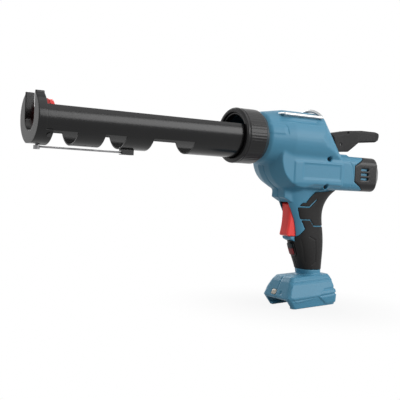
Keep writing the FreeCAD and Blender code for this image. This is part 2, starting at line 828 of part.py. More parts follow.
def front_bush():
    """Plain bush that guides the rod behind the sleeve."""
    return tube_x(sleeve_rear, case_inside, bush_radius, bush_bore)


def rear_bush():
    """Bush through the slanted rear of the upper case, with a flange inside."""
    body = cylinder_x(rear_bush_front, tail, bush_radius).common(rear_round(0))
    flange = cylinder_x(rear_bush_front, rear_bush_front + bearing_wall, bush_radius + bearing_wall / 2)
    bore = cylinder_x(rear_bush_front - overrun, tail, bush_bore)
    return body.fuse(flange).cut(bore)


def frame_outline():
    """Side outline of a gear frame as (x, z) points."""
    front = gear_x - frame_arm - frame_margin
    rear = output_bearing_x - air_gap
    high = -pillar_drop + frame_margin
    low = motor_z - frame_margin * 2
    return [(front, high), (rear, high), (rear, -pillar_drop - frame_margin), (gear_x + frame_margin * 2, low),
            (gear_x - frame_margin * 2, low), (front, -pillar_drop - frame_margin)]


def gear_frame(side):
    """Plate on one side of the gears that carries both shafts."""
    inner = side * frame_offset
    outer = side * (frame_offset + frame_plate)
    near, far = min(inner, outer), max(inner, outer)
    plate = prism_y(frame_outline(), near, far)
    pinion_hole = cylinder_y(near - overrun, far + overrun, shaft_radius + running_fit, gear_x,
                             rack_pinion_z)
    bearing_hole = cylinder_y(near - overrun, far + overrun, shaft_radius + bearing_wall + seat_gap, gear_x,
                              motor_z)
    rod_room = cylinder_x(gear_x - disc_radius, gear_x + disc_radius, rod_radius + air_gap)
    return plate.cut(pinion_hole).cut(bearing_hole).cut(rod_room)


def frame_pillars():
    """Two pillars that hold the frames apart."""
    pillars = [cylinder_y(-frame_offset, frame_offset, pillar_radius, gear_x + offset, -pillar_drop)
               for offset in (-frame_arm, frame_arm)]
    return Part.makeCompound(pillars)


def rack_pinion():
    """Gear in mesh with the rack."""
    return spur_gear_y(rack_pinion_teeth, shaft_radius + seat_gap, gear_x, rack_pinion_z, True)


def pinion_shaft():
    """Shaft of the rack pinion, turning in both frames."""
    half = frame_offset + frame_plate
    return cylinder_y(-half, half, shaft_radius, gear_x, rack_pinion_z)


def drive_pinion():
    """Gear on the cross shaft that turns the rack pinion."""
    return spur_gear_y(drive_teeth, shaft_radius + seat_gap, gear_x, motor_z, False)


def cross_shaft():
    """Shaft of the drive pinion and the bevel gear."""
    half = frame_offset + frame_plate
    return cylinder_y(-half, half, shaft_radius, gear_x, motor_z)


def shaft_bearings():
    """The two bearings of the cross shaft."""
    rings = []
    for start in (-frame_offset - frame_plate, frame_offset):
        rings.append(tube_y(start, start + frame_plate, shaft_radius + bearing_wall,
                            shaft_radius + running_fit, gear_x, motor_z))
    return Part.makeCompound(rings)


def bevel_gear():
    """Bevel wheel on the cross shaft."""
    toothed = bevel_teeth_along(Y, X, False)
    hub = cylinder_y(bevel_radius, bevel_back, bevel_radius - bevel_module * 2, gear_x, motor_z)
    bore = cylinder_y(0, bevel_back + overrun, shaft_radius + clutch_wall + seat_gap, gear_x, motor_z)
    clear = rack_pinion_z - motor_z - shaft_radius - air_gap
    blank = cylinder_y(0, bevel_back, clear, gear_x, motor_z)
    return toothed.common(blank).fuse(hub).cut(bore)


def clutch_unit():
    """Sealed clutch in the bevel wheel's bore, free on the shaft while the trigger is released."""
    return tube_y(bevel_inner, frame_offset - air_gap, shaft_radius + clutch_wall,
                  shaft_radius + running_fit, gear_x, motor_z)


def bevel_pinion():
    """Bevel wheel on the gearbox output."""
    toothed = bevel_teeth_along(X, Y, True)
    hub = cylinder_x(gear_x + bevel_radius, gear_x + bevel_back, bevel_radius - bevel_module * 2, 0, motor_z)
    bore = cylinder_x(gear_x, gear_x + bevel_back + overrun, shaft_radius + seat_gap, 0, motor_z)
    return toothed.fuse(hub).cut(bore)


def output_bearing():
    """Bearing of the gearbox output shaft."""
    return tube_x(output_bearing_x, output_bearing_x + output_bearing_length,
                  shaft_radius + output_bearing_wall, shaft_radius + running_fit, motor_z)


def ring_gear():
    """Fixed ring with inner teeth for both stages."""
    flat = gear_outline(ring_teeth, stage_module, -stage_slack, dedendum_share, addendum_share, False)
    blank = cylinder_x(ring_front, ring_rear, ring_radius, 0, motor_z)
    return blank.cut(prism_x([(a, motor_z + b) for a, b in flat], ring_front - overrun, ring_rear + overrun))


def planet_places():
    """Turn of each planet about the gearbox axis."""
    return [360.0 * index / planets for index in range(planets)]


def carrier_pins(start, length):
    """Pins that the planets of one stage turn on."""
    axis = vec(0, 0, motor_z)
    pin = cylinder_x(start, start + length, planet_pin_radius, 0, motor_z + planet_offset)
    return [pin.copy().rotate(axis, X, turn) for turn in planet_places()]


def planet(stage_x, turn):
    """One planet gear of the stage that starts at stage_x."""
    middle = motor_z + planet_offset
    gear = stage_gear(planet_teeth, stage_x, stage_x + stage_face, 0, middle, False)
    bore = cylinder_x(stage_x - overrun, stage_x + stage_face + overrun, planet_pin_radius + running_fit,
                      0, middle)
    return gear.cut(bore).rotate(vec(0, 0, motor_z), X, turn)


def carrier_2():
    """Second stage's carrier and the output shaft."""
    plate = cylinder_x(carrier_2_x, carrier_2_x + carrier_plate, carrier_radius, 0, motor_z)
    shaft = cylinder_x(gear_x + bevel_inner, carrier_2_x, shaft_radius, 0, motor_z)
    return fuse([plate, shaft] + carrier_pins(carrier_2_x + carrier_plate, stage_face + air_gap))


def carrier_1():
    """First stage's carrier with the second stage's sun gear on its front."""
    plate = cylinder_x(carrier_1_x, carrier_1_x + carrier_plate, carrier_radius, 0, motor_z)
    sun = stage_gear(sun_teeth, stage_2_x, carrier_1_x, 0, motor_z, True)
    return fuse([plate, sun] + carrier_pins(carrier_1_x + carrier_plate, stage_face + air_gap))


def motor_sun():
    """Sun gear on the motor shaft."""
    gear = stage_gear(sun_teeth, stage_1_x, stage_1_x + stage_face, 0, motor_z, True)
    bore = cylinder_x(stage_1_x - overrun, ring_rear + overrun, motor_tip_radius + seat_gap, 0, motor_z)
    return gear.cut(bore)


def motor_can():
    """Steel case of the motor with its front nose."""
    can = cylinder_x(motor_front, motor_rear, motor_radius, 0, motor_z)
    nose = cylinder_x(ring_rear, motor_front, motor_nose_radius, 0, motor_z)
    inside = cylinder_x(motor_front + motor_end_wall, motor_rear + overrun, motor_radius - motor_wall, 0,
                        motor_z)
    bearing = motor_shaft_radius + motor_bearing_wall + seat_gap
    seat = cylinder_x(motor_front, motor_front + motor_end_wall + overrun, bearing, 0, motor_z)
    throat = cylinder_x(ring_rear - overrun, motor_front, motor_shaft_radius + air_gap, 0, motor_z)
    return fuse([can, nose]).cut(inside).cut(seat).cut(throat)


def motor_end_bell():
    """Rear cover of the motor with its bearing seat."""
    bell = cylinder_x(motor_rear, bell_rear, motor_radius, 0, motor_z)
    bearing = motor_shaft_radius + motor_bearing_wall + seat_gap
    return bell.cut(cylinder_x(motor_rear - overrun, bell_rear + overrun, bearing, 0, motor_z))


def motor_bearings():
    """Front and rear bearing of the motor shaft."""
    rings = []
    for start, length in ((motor_front, motor_end_wall), (motor_rear, bell_length)):
        rings.append(tube_x(start, start + length, motor_shaft_radius + motor_bearing_wall,
                            motor_shaft_radius + running_fit, motor_z))
    return Part.makeCompound(rings)


def motor_shaft():
    """Motor shaft with a thin tip for the sun gear."""
    tip = cylinder_x(stage_1_x, ring_rear, motor_tip_radius, 0, motor_z)
    body = cylinder_x(ring_rear, fan_x + fan_length, motor_shaft_radius, 0, motor_z)
    return fuse([tip, body])


def armature():
    """Rotor stack with its commutator."""
    start = motor_front + motor_end_wall + air_gap * 2
    stack_end = start + armature_length
    commutator_end = stack_end + commutator_length
    bore = motor_shaft_radius + seat_gap
    profile = [(start, bore), (start, armature_radius), (stack_end, armature_radius),
               (stack_end, commutator_radius), (commutator_end, commutator_radius), (commutator_end, bore)]
    return turned_x(profile, motor_z)


def fan():
    """Cooling fan on the rear of the motor shaft."""
    axis = vec(0, 0, motor_z)
    plate = cylinder_x(fan_x, fan_x + fan_plate, fan_radius, 0, motor_z)
    hub = cylinder_x(fan_x, fan_x + fan_length, fan_hub_radius, 0, motor_z)
    root = fan_hub_radius - fan_blade
    blade = box(fan_x, fan_x + fan_length, -fan_blade / 2, fan_blade / 2, motor_z + root,
                motor_z + fan_radius)
    blades = [blade.copy().rotate(axis, X, 360.0 * index / fan_blades) for index in range(fan_blades)]
    bore = cylinder_x(fan_x - overrun, fan_x + fan_length + overrun, motor_shaft_radius + seat_gap, 0,
                      motor_z)
    return fuse([plate, hub] + blades).cut(bore)


def rear_round(inset):
    """Everything in front of the upper case's rear: a round that leans back towards its foot."""
    wide = case_rear_radius * 2
    reach = round_slope * wide
    circle = Part.Face(Part.Wire(Part.makeCircle(case_round - inset, vec(round_x + reach, 0, -wide), Z)))
    leaning = circle.extrude(vec(-2 * reach, 0, 2 * wide))
    outline = [(case_front, -wide), (round_x + reach, -wide), (round_x - reach, wide), (case_front, wide)]
    front = prism_y(outline, -wide, wide)
    return leaning.fuse(front)


def barrel_case(inset):
    """Upper case: a round body that swells behind the collar, with a rounded, slanted rear."""
    start = case_inside if inset > 0 else case_front
    shoulder = case_front + case_shoulder
    slope = (case_shoulder_radius - case_front_radius) / case_shoulder
    begin = case_front_radius + slope * (start - case_front) - inset
    middle = case_shoulder_radius - inset
    front = Part.makeCone(begin, middle, shoulder - start, vec(start, 0, 0), X)
    rear = Part.makeCone(middle, case_rear_radius - inset, tail - shoulder, vec(shoulder, 0, 0), X)
    return front.fuse(rear).common(rear_round(max(inset, 0)))


def gear_disc(inset):
    """Round lower front of the case, about the gears."""
    half = motor_case_half_width - inset
    flat = disc_flat_radius - inset / 2
    rim = disc_radius - inset
    profile = [(-half, 0), (-half, flat), (-disc_flat_half, rim), (disc_flat_half, rim), (half, flat),
               (half, 0)]
    return turned_y(profile, gear_x + disc_setback, -disc_drop)


def motor_section(x, half_width, half_height, corner):
    """Rounded cross section of the motor case."""
    return rounded_wire(half_width, half_height, corner, lambda a, b: vec(x, a, case_z + b))


def motor_case(inset):
    """Motor case and rear cap in one body, narrowed at its tail."""
    half_width = motor_case_half_width - inset
    half_height = motor_case_half_height - inset
    corner = motor_case_round - inset
    last = tail - inset
    shoulder = tail - tail_chamfer
    body = Part.Face(motor_section(gear_x, half_width, half_height, corner)).extrude(X * (shoulder - gear_x))
    part_way = (last - shoulder) / tail_chamfer
    end = motor_section(last, half_width - tail_inset * part_way, half_height - tail_drop * part_way, corner)
    start = motor_section(shoulder, half_width, half_height, corner)
    return body.fuse(Part.makeLoft([start, end], True, True))


def handle_section(row, inset):
    """One rounded oval cross section of the handle."""
    level, front, back, width = row
    x0 = handle_x + front * handle_depth + inset
    x1 = handle_x + back * handle_depth - inset
    half_depth = (x1 - x0) / 2
    half_width = width * handle_half_width - inset
    middle = vec((x0 + x1) / 2, 0, -handle_top - level * handle_length)
    points = []
    for step in range(oval_points):
        turn = 2 * math.pi * step / oval_points
        along = math.copysign(abs(math.cos(turn)) ** oval_share, math.cos(turn))
        across = math.copysign(abs(math.sin(turn)) ** oval_share, math.sin(turn))
        points.append(middle + X * (half_depth * along) + Y * (half_width * across))
    curve = Part.BSplineCurve()
    curve.interpolate(points, PeriodicFlag=True)
    return Part.Wire(curve.toShape())


def handle(inset):
    """Handle between the motor case and the foot."""
    return Part.makeLoft([handle_section(row, inset) for row in handle_shares], True, False)


def foot_section(row, inset):
    """One rounded cross section of the foot."""
    level, front, back, width = row
    x0 = foot_front + front * foot_length + inset
    x1 = foot_front + back * foot_length - inset
    middle = (x0 + x1) / 2
    height = -foot_drop + (1 - level) * foot_height
    half_width = width * foot_half_width - inset
    return rounded_wire((x1 - x0) / 2, half_width, foot_corner, lambda a, b: vec(middle + a, b, height))


def foot_tilted(shape):
    """A level piece of the foot turned to the foot's slope."""
    return shape.rotate(vec(foot_x, 0, -foot_drop), Y, -foot_tilt)


def foot_body():
    """Foot with the battery slot and its two lipped rails."""
    body = Part.makeLoft([foot_section(row, 0) for row in foot_shares], True, True)
    rear = foot_front + foot_length - slot_stop
    slot = box(foot_front - overrun, rear, -battery_half_width, battery_half_width, -foot_drop - overrun,
               slot_roof)
    lip_start = foot_front + foot_length * foot_shares[-1][1]
    lips = [box(lip_start, rear, low, high, -foot_drop, -foot_drop + rail_lip)
            for low, high in ((battery_half_width - rail_lip, battery_half_width),
                              (-battery_half_width, rail_lip - battery_half_width))]
    return foot_tilted(fuse([body.cut(slot)] + lips + foot_forms()))


def foot_forms():
    """Raised side panels of the foot and the finger ribs round its rear corners."""
    wide = foot_half_width * 2
    forms = []
    for rise, outlines in ((foot_panel_rise, (foot_panel_shares,)),
                           (foot_rib_rise, (upper_rib_shares, lower_rib_shares))):
        skin = Part.makeLoft([foot_section(row, -rise) for row in foot_shares], True, True)
        for shares in outlines:
            outline = [(foot_front + a * foot_length, -foot_drop + (1 - b) * foot_height) for a, b in shares]
            side = prism_y(outline, battery_half_width + panel_wall, wide)
            forms += [part.common(skin) for part in both_sides(side)]
    return forms


def foot_inside():
    """Room in the foot above the battery slot."""
    body = Part.makeLoft([foot_section(row, wall) for row in foot_shares], True, True)
    span = (foot_front - overrun, foot_front + foot_length + overrun, -foot_half_width, foot_half_width)
    roof = -foot_drop + foot_height * (1 - foot_shares[0][0]) - wall
    below = box(*span, -foot_drop - overrun, slot_roof + ceiling)
    above = box(*span, roof, roof + foot_height)
    return foot_tilted(body.cut(below).cut(above))


def brow():
    """Block of the housing above the trigger."""
    front = handle_x - brow_front
    low = -trigger_top + air_gap
    outline = [(front, -brow_top), (front, low + brow_slope), (front + brow_slope * 2, low),
               (front + brow_length, low), (front + brow_length, -brow_top)]
    return prism_y(outline, -brow_half_width, brow_half_width)


def trigger_lip():
    """Small lip of the housing under the trigger."""
    top = -trigger_top - trigger_height - air_gap
    front = handle_x - lip_front
    rear = front + lip_length
    outline = [(front, top), (rear, top), (rear + lip_height, top - lip_height * 2),
               (front + lip_height * 2, top - lip_height)]
    return prism_y(outline, -trigger_half_width, trigger_half_width)


def pad_prism(shares):
    """Block across the tool under one pad's outline."""
    corners = [(handle_x + a * handle_depth, -handle_top - b * handle_length) for a, b in shares]
    return prism_y(corners, -motor_case_half_width, motor_case_half_width)


def grip_layers(skin, floor):
    """The grip's pads between two depths of the handle, clear of the case and the foot."""
    ring = handle(-skin).cut(handle(floor))
    around = motor_case(-seat_gap).fuse(foot_clear())
    around = around.fuse(pad_prism(pad_line_shares))
    pads = [ring.common(pad_prism(shares)).cut(around) for shares in (upper_pad_shares, lower_pad_shares)]
    return Part.makeCompound(pads)


def foot_clear():
    """Outer body of the foot with a little room."""
    return foot_tilted(Part.makeLoft([foot_section(row, -seat_gap) for row in foot_shares], True, True))


def half_space(side):
    """Everything on one side of the middle plane."""
    wide = motor_case_half_width * 4
    near, far = (0, wide) if side > 0 else (-wide, 0)
    return box(-overrun, tail + pull_length * 2, near, far, -foot_drop * 2, foot_drop)


def cap_outline(gap):
    """Side outline of everything that belongs to the rear cap."""
    edge = motor_front + cap_front - gap
    reach = edge - cap_side_reach
    half = cap_side_half_height + gap
    high = motor_case_half_height + overrun
    slant = half + cap_slant
    return [(edge, case_z + high), (edge, case_z + slant), (reach, case_z + half), (reach, case_z - half),
            (edge, case_z - slant), (edge, case_z - high), (tail + overrun, case_z - high),
            (tail + overrun, case_z + high)]


def cap_prism(gap):
    """Block across the tool that holds the rear cap."""
    wide = motor_case_half_width + overrun
    return prism_y(cap_outline(gap), -wide, wide)


def cap_screw_bores(radius, start, end):
    """Bars in the places of the cap screws."""
    return [cylinder_x(start, end, radius, side * cap_screw_offset, case_z - side * cap_screw_lift)
            for side in (-1, 1)]


def rear_cap():
    """Black cover behind the motor with side vents."""
    shell = motor_case(0).cut(motor_case(cap_wall)).common(cap_prism(0))
    posts = cap_screw_bores(cap_screw_head + wall, motor_front + cap_front, tail)
    posts = [post.common(motor_case(cap_wall / 2)) for post in posts]
    shape = fuse([shell] + posts)
    wide = motor_case_half_width + overrun
    inner = motor_case_half_width - cap_wall - seat_gap
    for slot in cap_vents(vent_height, -wide, -inner, 0) + cap_vents(vent_height, inner, wide, 0):
        shape = shape.cut(slot)
    for bore in cap_screw_bores(cap_screw_radius + seat_gap, motor_front, tail + overrun):
        shape = shape.cut(bore)
    head_start = tail - cap_wall - cap_screw_head_height * 2
    for bore in cap_screw_bores(cap_screw_head + seat_gap, head_start, tail + overrun):
        shape = shape.cut(bore)
    return shape


def cap_vents(height, low_y, high_y, shift):
    """Slots for the air behind the motor, stacked on one side."""
    start = motor_front + cap_front - cap_side_reach + vent_setback
    slots = []
    for vent in range(vent_count):
        middle = case_z + (vent - (vent_count - 1) / 2) * vent_pitch + shift
        slots.append(box(start, start + vent_length, low_y, high_y, middle - height / 2, middle + height / 2))
    return slots


def spigot():
    """Rim of the housing that reaches into the rear cap, with an air slot behind each vent."""
    outer = cap_wall + cap_gap
    front = motor_front + cap_front - cap_side_reach - spigot_root
    rear = motor_front + cap_front - cap_side_reach + vent_setback + spigot_length
    wide = motor_case_half_width
    high = motor_case_half_height
    span = box(front, rear, -wide, wide, case_z - high, case_z + high)
    rim = motor_case(outer).cut(motor_case(outer + spigot_wall)).common(span)
    height = vent_height * spigot_slot_share
    for slot in cap_vents(height, -wide, wide, (vent_height - height) / 2):
        rim = rim.cut(slot)
    for post in cap_screw_bores(cap_screw_head + wall + cap_gap, motor_front + cap_front - cap_gap, tail):
        rim = rim.cut(post)
    return rim.cut(cylinder_x(motor_front, tail, motor_radius + seat_gap, 0, motor_z))


def cap_screws():
    """Two screws that hold the rear cap."""
    head_start = tail - cap_wall - cap_screw_head_height * 2 + seat_gap
    shanks = cap_screw_bores(cap_screw_radius, motor_front + cap_front - cap_side_reach - spigot_root, head_start)
    heads = cap_screw_bores(cap_screw_head, head_start, head_start + cap_screw_head_height)
    return Part.makeCompound([fuse([shank, head]) for shank, head in zip(shanks, heads)])


def screw_places():
    """Places (x, z) of the housing screws."""
    return (upper_screw, lower_screw)


def housing_screws():
    """Screws that draw the two housing halves together."""
    screws = []
    for place in screw_places():
        under_head = -motor_case_half_width + screw_sink + screw_head_height
        head = cylinder_y(under_head - screw_head_height, under_head, screw_head, *place)
        shank = cylinder_y(under_head, screw_reach, screw_radius, *place)
        screws.append(fuse([head, shank]))
    return Part.makeCompound(screws)


def screw_bores():
    """Room for the housing screws."""
    bores = []
    for place in screw_places():
        under_head = -motor_case_half_width + screw_sink + screw_head_height + seat_gap
        bores.append(cylinder_y(-motor_case_half_width - overrun, under_head, screw_head + seat_gap, *place))
        bores.append(cylinder_y(under_head - overrun, screw_reach + seat_gap, screw_radius + seat_gap,
                                *place))
    return bores


def side_panels():
    """Raised panel with a shallow recess on each side of the motor case."""
    start = gear_x - panel_front
    middle = case_z - panel_lift
    half = panel_height / 2
    face = motor_case_half_width + panel_rise
    panel = box(start, start + panel_length, motor_case_half_width - wall, face, middle - half,
                middle + half)
    inset = panel_margin / 2
    label = box(start + panel_margin * 2, start + panel_length - inset, face - panel_recess, face + overrun,
                middle - half + panel_margin, middle + half - inset / 2)
    return both_sides(panel.cut(label))


def outer_body():
    """The whole outside of the housing as one solid."""
    neck = cylinder_x(neck_front, case_front + overrun, neck_radius)
    cases = [barrel_case(0), gear_disc(0), motor_case(0), handle(0), foot_body()]
    return fuse(cases + [brow(), trigger_lip(), neck, barrel_pad(), case_step()] + side_panels())


def case_step():
    """Raised step on top of the motor case, behind the upper case."""
    half = motor_case_half_width - motor_case_round
    top = case_z + motor_case_half_height
    rear = motor_front + step_reach
    outline = [(gear_x, top - wall), (gear_x, top + step_rise), (rear, top + step_rise),
               (rear + step_rise, top), (rear + step_rise, top - wall)]
    return prism_y(outline, -half, half)


def barrel_pad():
    """Raised pad on the left of the upper case, beside the collar."""
    wide = case_rear_radius * 2
    slab = box(case_front, case_front + catch_pad_length, -wide, 0, catch_pad_low, catch_pad_high)
    return barrel_case(-catch_pad_rise).common(slab)


def inner_body():
    """The room inside the housing as one solid."""
    return fuse([barrel_case(wall), gear_disc(wall), motor_case(wall), handle(wall), foot_inside()])


def slab(x0, x1):
    """A bulkhead across the motor case."""
    return motor_case(wall / 2).common(box(x0, x1, -motor_case_half_width, motor_case_half_width,
                                           case_z - motor_case_half_height, case_z + motor_case_half_height))


def housing_ribs():
    """Bulkheads, bosses and ribs that seat the inner pieces."""
    ribs = [slab(output_bearing_x, output_bearing_x + output_bearing_length)]
    ribs.append(slab(ring_front + stage_face, ring_front + stage_face + rib_thickness))
    motor_seat = motor_front + motor_length / 3
    ribs.append(slab(motor_seat, motor_seat + rib_thickness))
    screw_seat = motor_front + cap_front - cap_side_reach - spigot_root
    ribs.append(slab(screw_seat, screw_seat + rib_thickness * 3))
    face = motor_case_half_width - wall / 2
    head_seat = -motor_case_half_width + screw_sink + screw_head_height + wall
    for place in screw_places():
        ribs.append(cylinder_y(-face, face, screw_boss, *place))
        ribs.append(cylinder_y(-face, head_seat, screw_head + wall / 2, *place))
    bush_boss = cylinder_x(rear_bush_front + bearing_wall, tail, bush_radius + wall)
    ribs.append(bush_boss.common(barrel_case(0)))
    for offset in (-frame_arm, frame_arm):
        post = cylinder_y(frame_offset + frame_plate, motor_case_half_width - wall / 2, pillar_radius * 1.5,
                          gear_x + offset, -pillar_drop)
        ribs += both_sides(post)
    pin_boss = cylinder_y(-bail_half_width, bail_half_width, bail_boss_radius, bail_x, bail_z)
    ribs.append(pin_boss.common(barrel_case(0)))
    for level in (switch_height / 4, switch_height * 3 / 4):
        plate = box(switch_x, switch_x + switch_length, switch_half_width + seat_gap, handle_half_width,
                    switch_z - level - rib_thickness, switch_z - level)
        ribs += [side.common(handle(wall / 2)) for side in both_sides(plate)]
    return ribs


def seat_bores():
    """Bores and pockets for everything that sits in or runs through the housing."""
    room = [cylinder_x(neck_front - overrun, sleeve_rear, flange_radius)]
    room.append(cylinder_x(sleeve_rear - overrun, case_inside + overrun, bush_radius + seat_gap))
    room.append(cylinder_x(rear_bush_front + bearing_wall - seat_gap, tail, bush_radius + seat_gap))
    room.append(cylinder_x(output_bearing_x - overrun, carrier_2_x + overrun,
                           shaft_radius + output_bearing_wall + seat_gap, 0, motor_z))
    room.append(cylinder_x(ring_front, ring_rear, ring_radius + seat_gap, 0, motor_z))
    room.append(motor_seat_room())
    room += cap_screw_bores(cap_screw_radius + seat_gap, motor_front, tail)
    room += screw_bores()
    room += bail_holes(running_fit)
    room.append(cap_prism(cap_gap))
    room.append(trigger_room())
    room.append(button_block(bezel_wall + running_fit + seat_gap, bezel_depth))
    room += scallops()
    room += foot_pockets()
    return room


def trigger_room():
    """Room that the trigger moves in."""
    half = trigger_half_width + air_gap
    return box(handle_x - brow_front, trigger_rear + trigger_travel + overrun, -half, half,
               -trigger_top - trigger_height - air_gap, -trigger_top + air_gap)


def scallops():
    """Shallow concave bands under the bail's arms."""
    away = case_rear_radius + scallop_radius - scallop_depth
    turn = math.radians(scallop_angle)
    start = case_front + scallop_front
    band = cylinder_x(start, start + scallop_length, scallop_radius, away * math.sin(turn),
                      away * math.cos(turn))
    return both_sides(band)


def bail_holes(gap):
    """Bars in the places of the bail's pivot pins, with some room round them."""
    start = bail_half_width - bail_pin - gap * 10
    bar = cylinder_y(start, bail_half_width + overrun, bail_wire + gap, bail_x, bail_z)
    return both_sides(bar)


def hang_bail():
    """Steel wire bail: two pivot pins, two arms and an arch over the case."""
    pins = [vec(bail_x, bail_half_width - bail_pin, bail_z), vec(bail_x, bail_half_width, bail_z)]
    arm_end = vec(bail_x + bail_length, bail_half_width, bail_z)
    side = tube_along(pins + [arm_end], bail_wire)
    corner = Part.makeSphere(bail_wire, arm_end)
    spread = math.degrees(math.asin(bail_half_width / bail_radius))
    section = Part.Face(Part.Wire(Part.makeCircle(bail_wire, vec(bail_x + bail_length, 0, bail_radius), Y)))
    arch = section.rotate(vec(0, 0, 0), X, -spread).revolve(vec(0, 0, 0), X, 2 * spread)
    return fuse(both_sides(side) + both_sides(corner) + [arch])


def housing():
    """The whole hollow housing, before it is parted into two halves."""
    shell = outer_body().cut(inner_body()).multiFuse(housing_ribs())
    for room in seat_bores():
        shell = shell.cut(room)
    shell = shell.cut(grip_layers(grip_rise * 2, grip_thickness))
    return shell.fuse(spigot()).cut(motor_seat_room())


def motor_seat_room():
    """Room for the motor in its seats."""
    return cylinder_x(motor_front - air_gap, bell_rear, motor_radius + seat_gap, 0, motor_z)


def half_of(whole, side):
    """The solid that one side of a body parted at the middle plane makes."""
    half = whole.common(half_space(side))
    return max(half.Solids, key=lambda solid: solid.Volume).removeSplitter()


def grip():
    """The rubber grip's pads round the whole handle."""
    pads = grip_layers(grip_rise, grip_thickness - seat_gap).cut(trigger_room())
    for bore in screw_bores():
        pads = pads.cut(bore)
    return pads.cut(button_block(bezel_wall + running_fit + seat_gap, bezel_depth))


def trigger():
    """Red trigger with a dished front."""
    front = handle_x - trigger_front
    top = -trigger_top
    low = top - trigger_height
    dish = Part.Arc(vec(front, 0, top), vec(front + trigger_dish, 0, (top + low) / 2), vec(front, 0, low))
    corners = [vec(front, 0, low), vec(trigger_rear, 0, low), vec(trigger_rear, 0, top), vec(front, 0, top)]
    wire = Part.Wire([dish.toShape(), Part.makePolygon(corners)])
    face = Part.Face(wire)
    face.translate(vec(0, -trigger_half_width, 0))
    block = face.extrude(Y * (2 * trigger_half_width))
    front_edges = [edge for edge in block.Edges if edge.BoundBox.XMax < front + trigger_dish + seat_gap]
    return block.makeFillet(trigger_round, front_edges)


def switch_unit():
    """Sealed switch behind the trigger."""
    return box(switch_x, switch_x + switch_length, -switch_half_width, switch_half_width,
               switch_z - switch_height, switch_z)


def button_block(margin, depth):
    """Upright rounded bar through the front of the grip, with some margin round the lock button."""
    front = handle_x - handle_depth / 2
    place = lambda a, b: vec(front, a, b - button_drop)
    outline = rounded_wire(button_half_width + margin, button_half_height + margin, button_round + margin, place)
    return Part.Face(outline).extrude(X * (handle_x + depth - front))


def lock_bezel():
    """Frame round the lock button, flush with the front of the grip but for a small rise."""
    frame = button_block(bezel_wall + running_fit, bezel_depth).cut(button_block(running_fit, bezel_depth + overrun))
    return frame.common(handle(-grip_rise - bezel_rise))


def lock_button():
    """Small push button that locks the trigger."""
    rise = grip_rise + bezel_rise + button_rise + button_travel
    return button_block(0, button_depth).common(handle(-rise))


def foot_pockets():
    """Pockets in the foot for the terminal block and the lamp."""
    middle = -foot_drop + lens_lift + lens_height / 2
    front = foot_front + foot_length * foot_shares[2][1]
    dimple = cylinder_x(front - overrun, front + dimple_depth, dimple_radius, -dimple_offset, middle)
    return [foot_tilted(box) for box in (terminal_box(seat_gap), lens_box(seat_gap), dimple)]


def terminal_box(room):
    """Level block in the place of the terminal block."""
    start = foot_front + terminal_setback
    half = terminal_half_width + room
    return box(start - room, start + terminal_length + room, -half, half, slot_roof - terminal_drop,
               slot_roof + ceiling + terminal_rise)


def terminal_block():
    """Battery terminal block through the roof of the slot."""
    block = terminal_box(0)
    for slot in contact_boxes(seat_gap):
        block = block.cut(slot)
    return foot_tilted(block)


def contact_boxes(room):
    """Level plates in the places of the battery contacts."""
    start = foot_front + terminal_setback - contact_length / 2
    top = slot_roof - (terminal_drop - contact_height) / 2
    plates = []
    for index in range(contact_count):
        middle = (index - (contact_count - 1) / 2) * contact_pitch
        half = contact_thickness / 2 + room
        plates.append(box(start, start + contact_length + room, middle - half, middle + half,
                          top - contact_height - room, top + room))
    return plates


def battery_contacts():
    """Brass blades that the battery slides onto."""
    return Part.makeCompound([foot_tilted(plate) for plate in contact_boxes(0)])


def control_board():
    """Circuit board on top of the terminal block."""
    start = foot_front + board_setback
    low = slot_roof + ceiling + terminal_rise + seat_gap
    return foot_tilted(box(start, start + board_length, -board_half_width, board_half_width, low,
                           low + board_thickness))


def lens_box(room):
    """Level block in the place of the lamp lens."""
    low = -foot_drop + lens_lift - room
    front = foot_front - lens_rise
    half = lens_half_width + room
    return box(front, front + lens_depth, lens_offset - half, lens_offset + half, low,
               low + lens_height + 2 * room)


def led_lens():
    """Clear lens of the work lamp."""
    skin = Part.makeLoft([foot_section(row, -lens_rise) for row in foot_shares], True, True)
    return foot_tilted(lens_box(0).common(skin))


def leads(route):
    """A pair of wires that follow one route on both sides of the middle plane."""
    side = tube_along(route, lead_radius)
    return Part.makeCompound(both_sides(side))


def motor_leads():
    """Wires from the switch to the motor."""
    start = switch_x + switch_length - lead_bend / 2
    can_low = motor_z - math.sqrt(motor_radius ** 2 - lead_spread ** 2) - lead_radius
    route = [vec(start, lead_spread, switch_z + seat_gap), vec(start, lead_spread, switch_z + lead_bend),
             vec(start + lead_bend, lead_spread, can_low - lead_bend / 2),
             vec(start + lead_bend, lead_spread, can_low)]
    return leads(route)


def supply_leads():
    """Wires from the control board to the switch."""
    top = switch_z - switch_height - seat_gap
    low = slot_roof + ceiling + terminal_rise + board_thickness + lead_radius
    x = switch_x + switch_length / 2
    return leads([vec(x, lead_spread, low), vec(x, lead_spread, top)])


